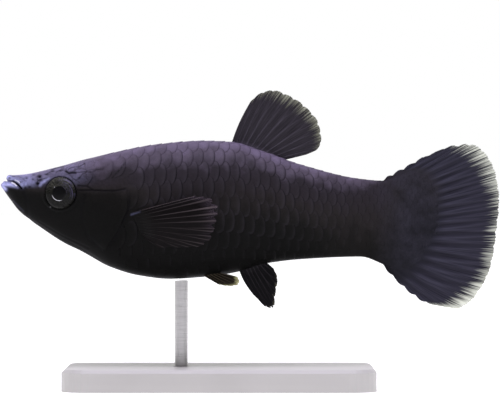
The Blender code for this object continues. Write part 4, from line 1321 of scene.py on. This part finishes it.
PHOTO_WIDTH = 500
PHOTO_MM_A_PIXEL = 0.1805
CAMERA_DISTANCE = 0.65
SENSOR = 36.0
NEAREST_SEEN = 0.01
PAPER_HALF_WIDTH = 3.9
PAPER_FRONT = -2.6
PAPER_BEND_START = 1.1
PAPER_BEND = 0.75
PAPER_BEND_STEPS = 12
PAPER_TOP = 4.4
WALL_RADIUS = 1.3
WALL_SIDES = 96
WALL_TOP = 3.0
SOFTBOX_PLACE = (0.0, -0.12, 0.55)
SOFTBOX_TARGET = (0.0, 0.0, 0.03)
SOFTBOX_SIZE = (0.5, 0.35)
SOFTBOX_WATTS = 3.6
ROOM_GLOW = 0.16


def make_paper(material):
    """A floor that sweeps up into a backdrop."""
    sweep = [(PAPER_FRONT, 0.0), (PAPER_BEND_START, 0.0)]
    for step in range(1, PAPER_BEND_STEPS + 1):
        angle = math.pi / 2 * step / PAPER_BEND_STEPS
        sweep.append((PAPER_BEND_START + PAPER_BEND * math.sin(angle), PAPER_BEND * (1 - math.cos(angle))))
    sweep.append((PAPER_BEND_START + PAPER_BEND, PAPER_TOP))
    points = [(side * PAPER_HALF_WIDTH, y, z) for y, z in sweep for side in (-1, 1)]
    faces = net_faces(np.arange(len(points)).reshape(-1, 2)).tolist()
    new_object("paper_sweep", points, faces, material)


def make_far_wall(material):
    """A white wall all round the room, out of the light's way, so that every side is seen against white."""
    points = []
    for i in range(WALL_SIDES):
        x, y = WALL_RADIUS * math.cos(TURN * i / WALL_SIDES), WALL_RADIUS * math.sin(TURN * i / WALL_SIDES)
        points += [(x, y, 0.0), (x, y, WALL_TOP)]
    numbers = np.pad(np.arange(2 * WALL_SIDES).reshape(-1, 2), ((0, 1), (0, 0)), mode="wrap")
    wall = new_object("far_wall", points, net_faces(numbers).tolist(), material)
    wall.visible_diffuse = False
    wall.visible_glossy = False
    wall.visible_shadow = False


def add_camera():
    data = bpy.data.cameras.new("camera")
    data.sensor_width = SENSOR
    data.lens = SENSOR * CAMERA_DISTANCE / (PHOTO_WIDTH * PHOTO_MM_A_PIXEL * MM)
    data.clip_start = NEAREST_SEEN
    camera = bpy.data.objects.new("camera", data)
    camera.location = (0.0, -CAMERA_DISTANCE, AXIS_HEIGHT * MM)
    camera.rotation_euler = (math.pi / 2, 0.0, 0.0)
    bpy.context.scene.collection.objects.link(camera)
    bpy.context.scene.camera = camera


def light_the_room():
    """Faint even light from all round, and one soft box overhead."""
    world = bpy.data.worlds.new("room")
    world.use_nodes = True
    tree = world.node_tree
    feed(tree, tree.nodes["Background"], {"Color": ink("#e9e9ee"), "Strength": ROOM_GLOW})
    bpy.context.scene.world = world
    bpy.context.scene.view_settings.view_transform = "Standard"
    lamp = bpy.data.lights.new("overhead", "AREA")
    lamp.shape = "RECTANGLE"
    lamp.size, lamp.size_y = SOFTBOX_SIZE
    lamp.energy = SOFTBOX_WATTS
    lamp.color = ink("#f1ecff")[:3]
    light = bpy.data.objects.new("overhead", lamp)
    light.location = SOFTBOX_PLACE
    way = Vector(SOFTBOX_TARGET) - light.location
    light.rotation_euler = way.to_track_quat("-Z", "Y").to_euler()
    bpy.context.scene.collection.objects.link(light)


skin = Skin()
make_skin(skin, make_skin_material())
make_scales(skin, make_scale_material())
make_fins()
eye_material = make_eye_material()
for word, side in SIDES:
    make_eye(f"eyeball_{word}", side, eye_material, f"eye_{word}")
for node, material in (("stand_base", make_base_material()), ("stand_rod", make_rod_material())):
    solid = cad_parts[node]
    solid.data.materials.clear()
    solid.data.materials.append(material)
make_paper(make_paper_material())
make_far_wall(make_wall_material())
light_the_room()
add_camera()
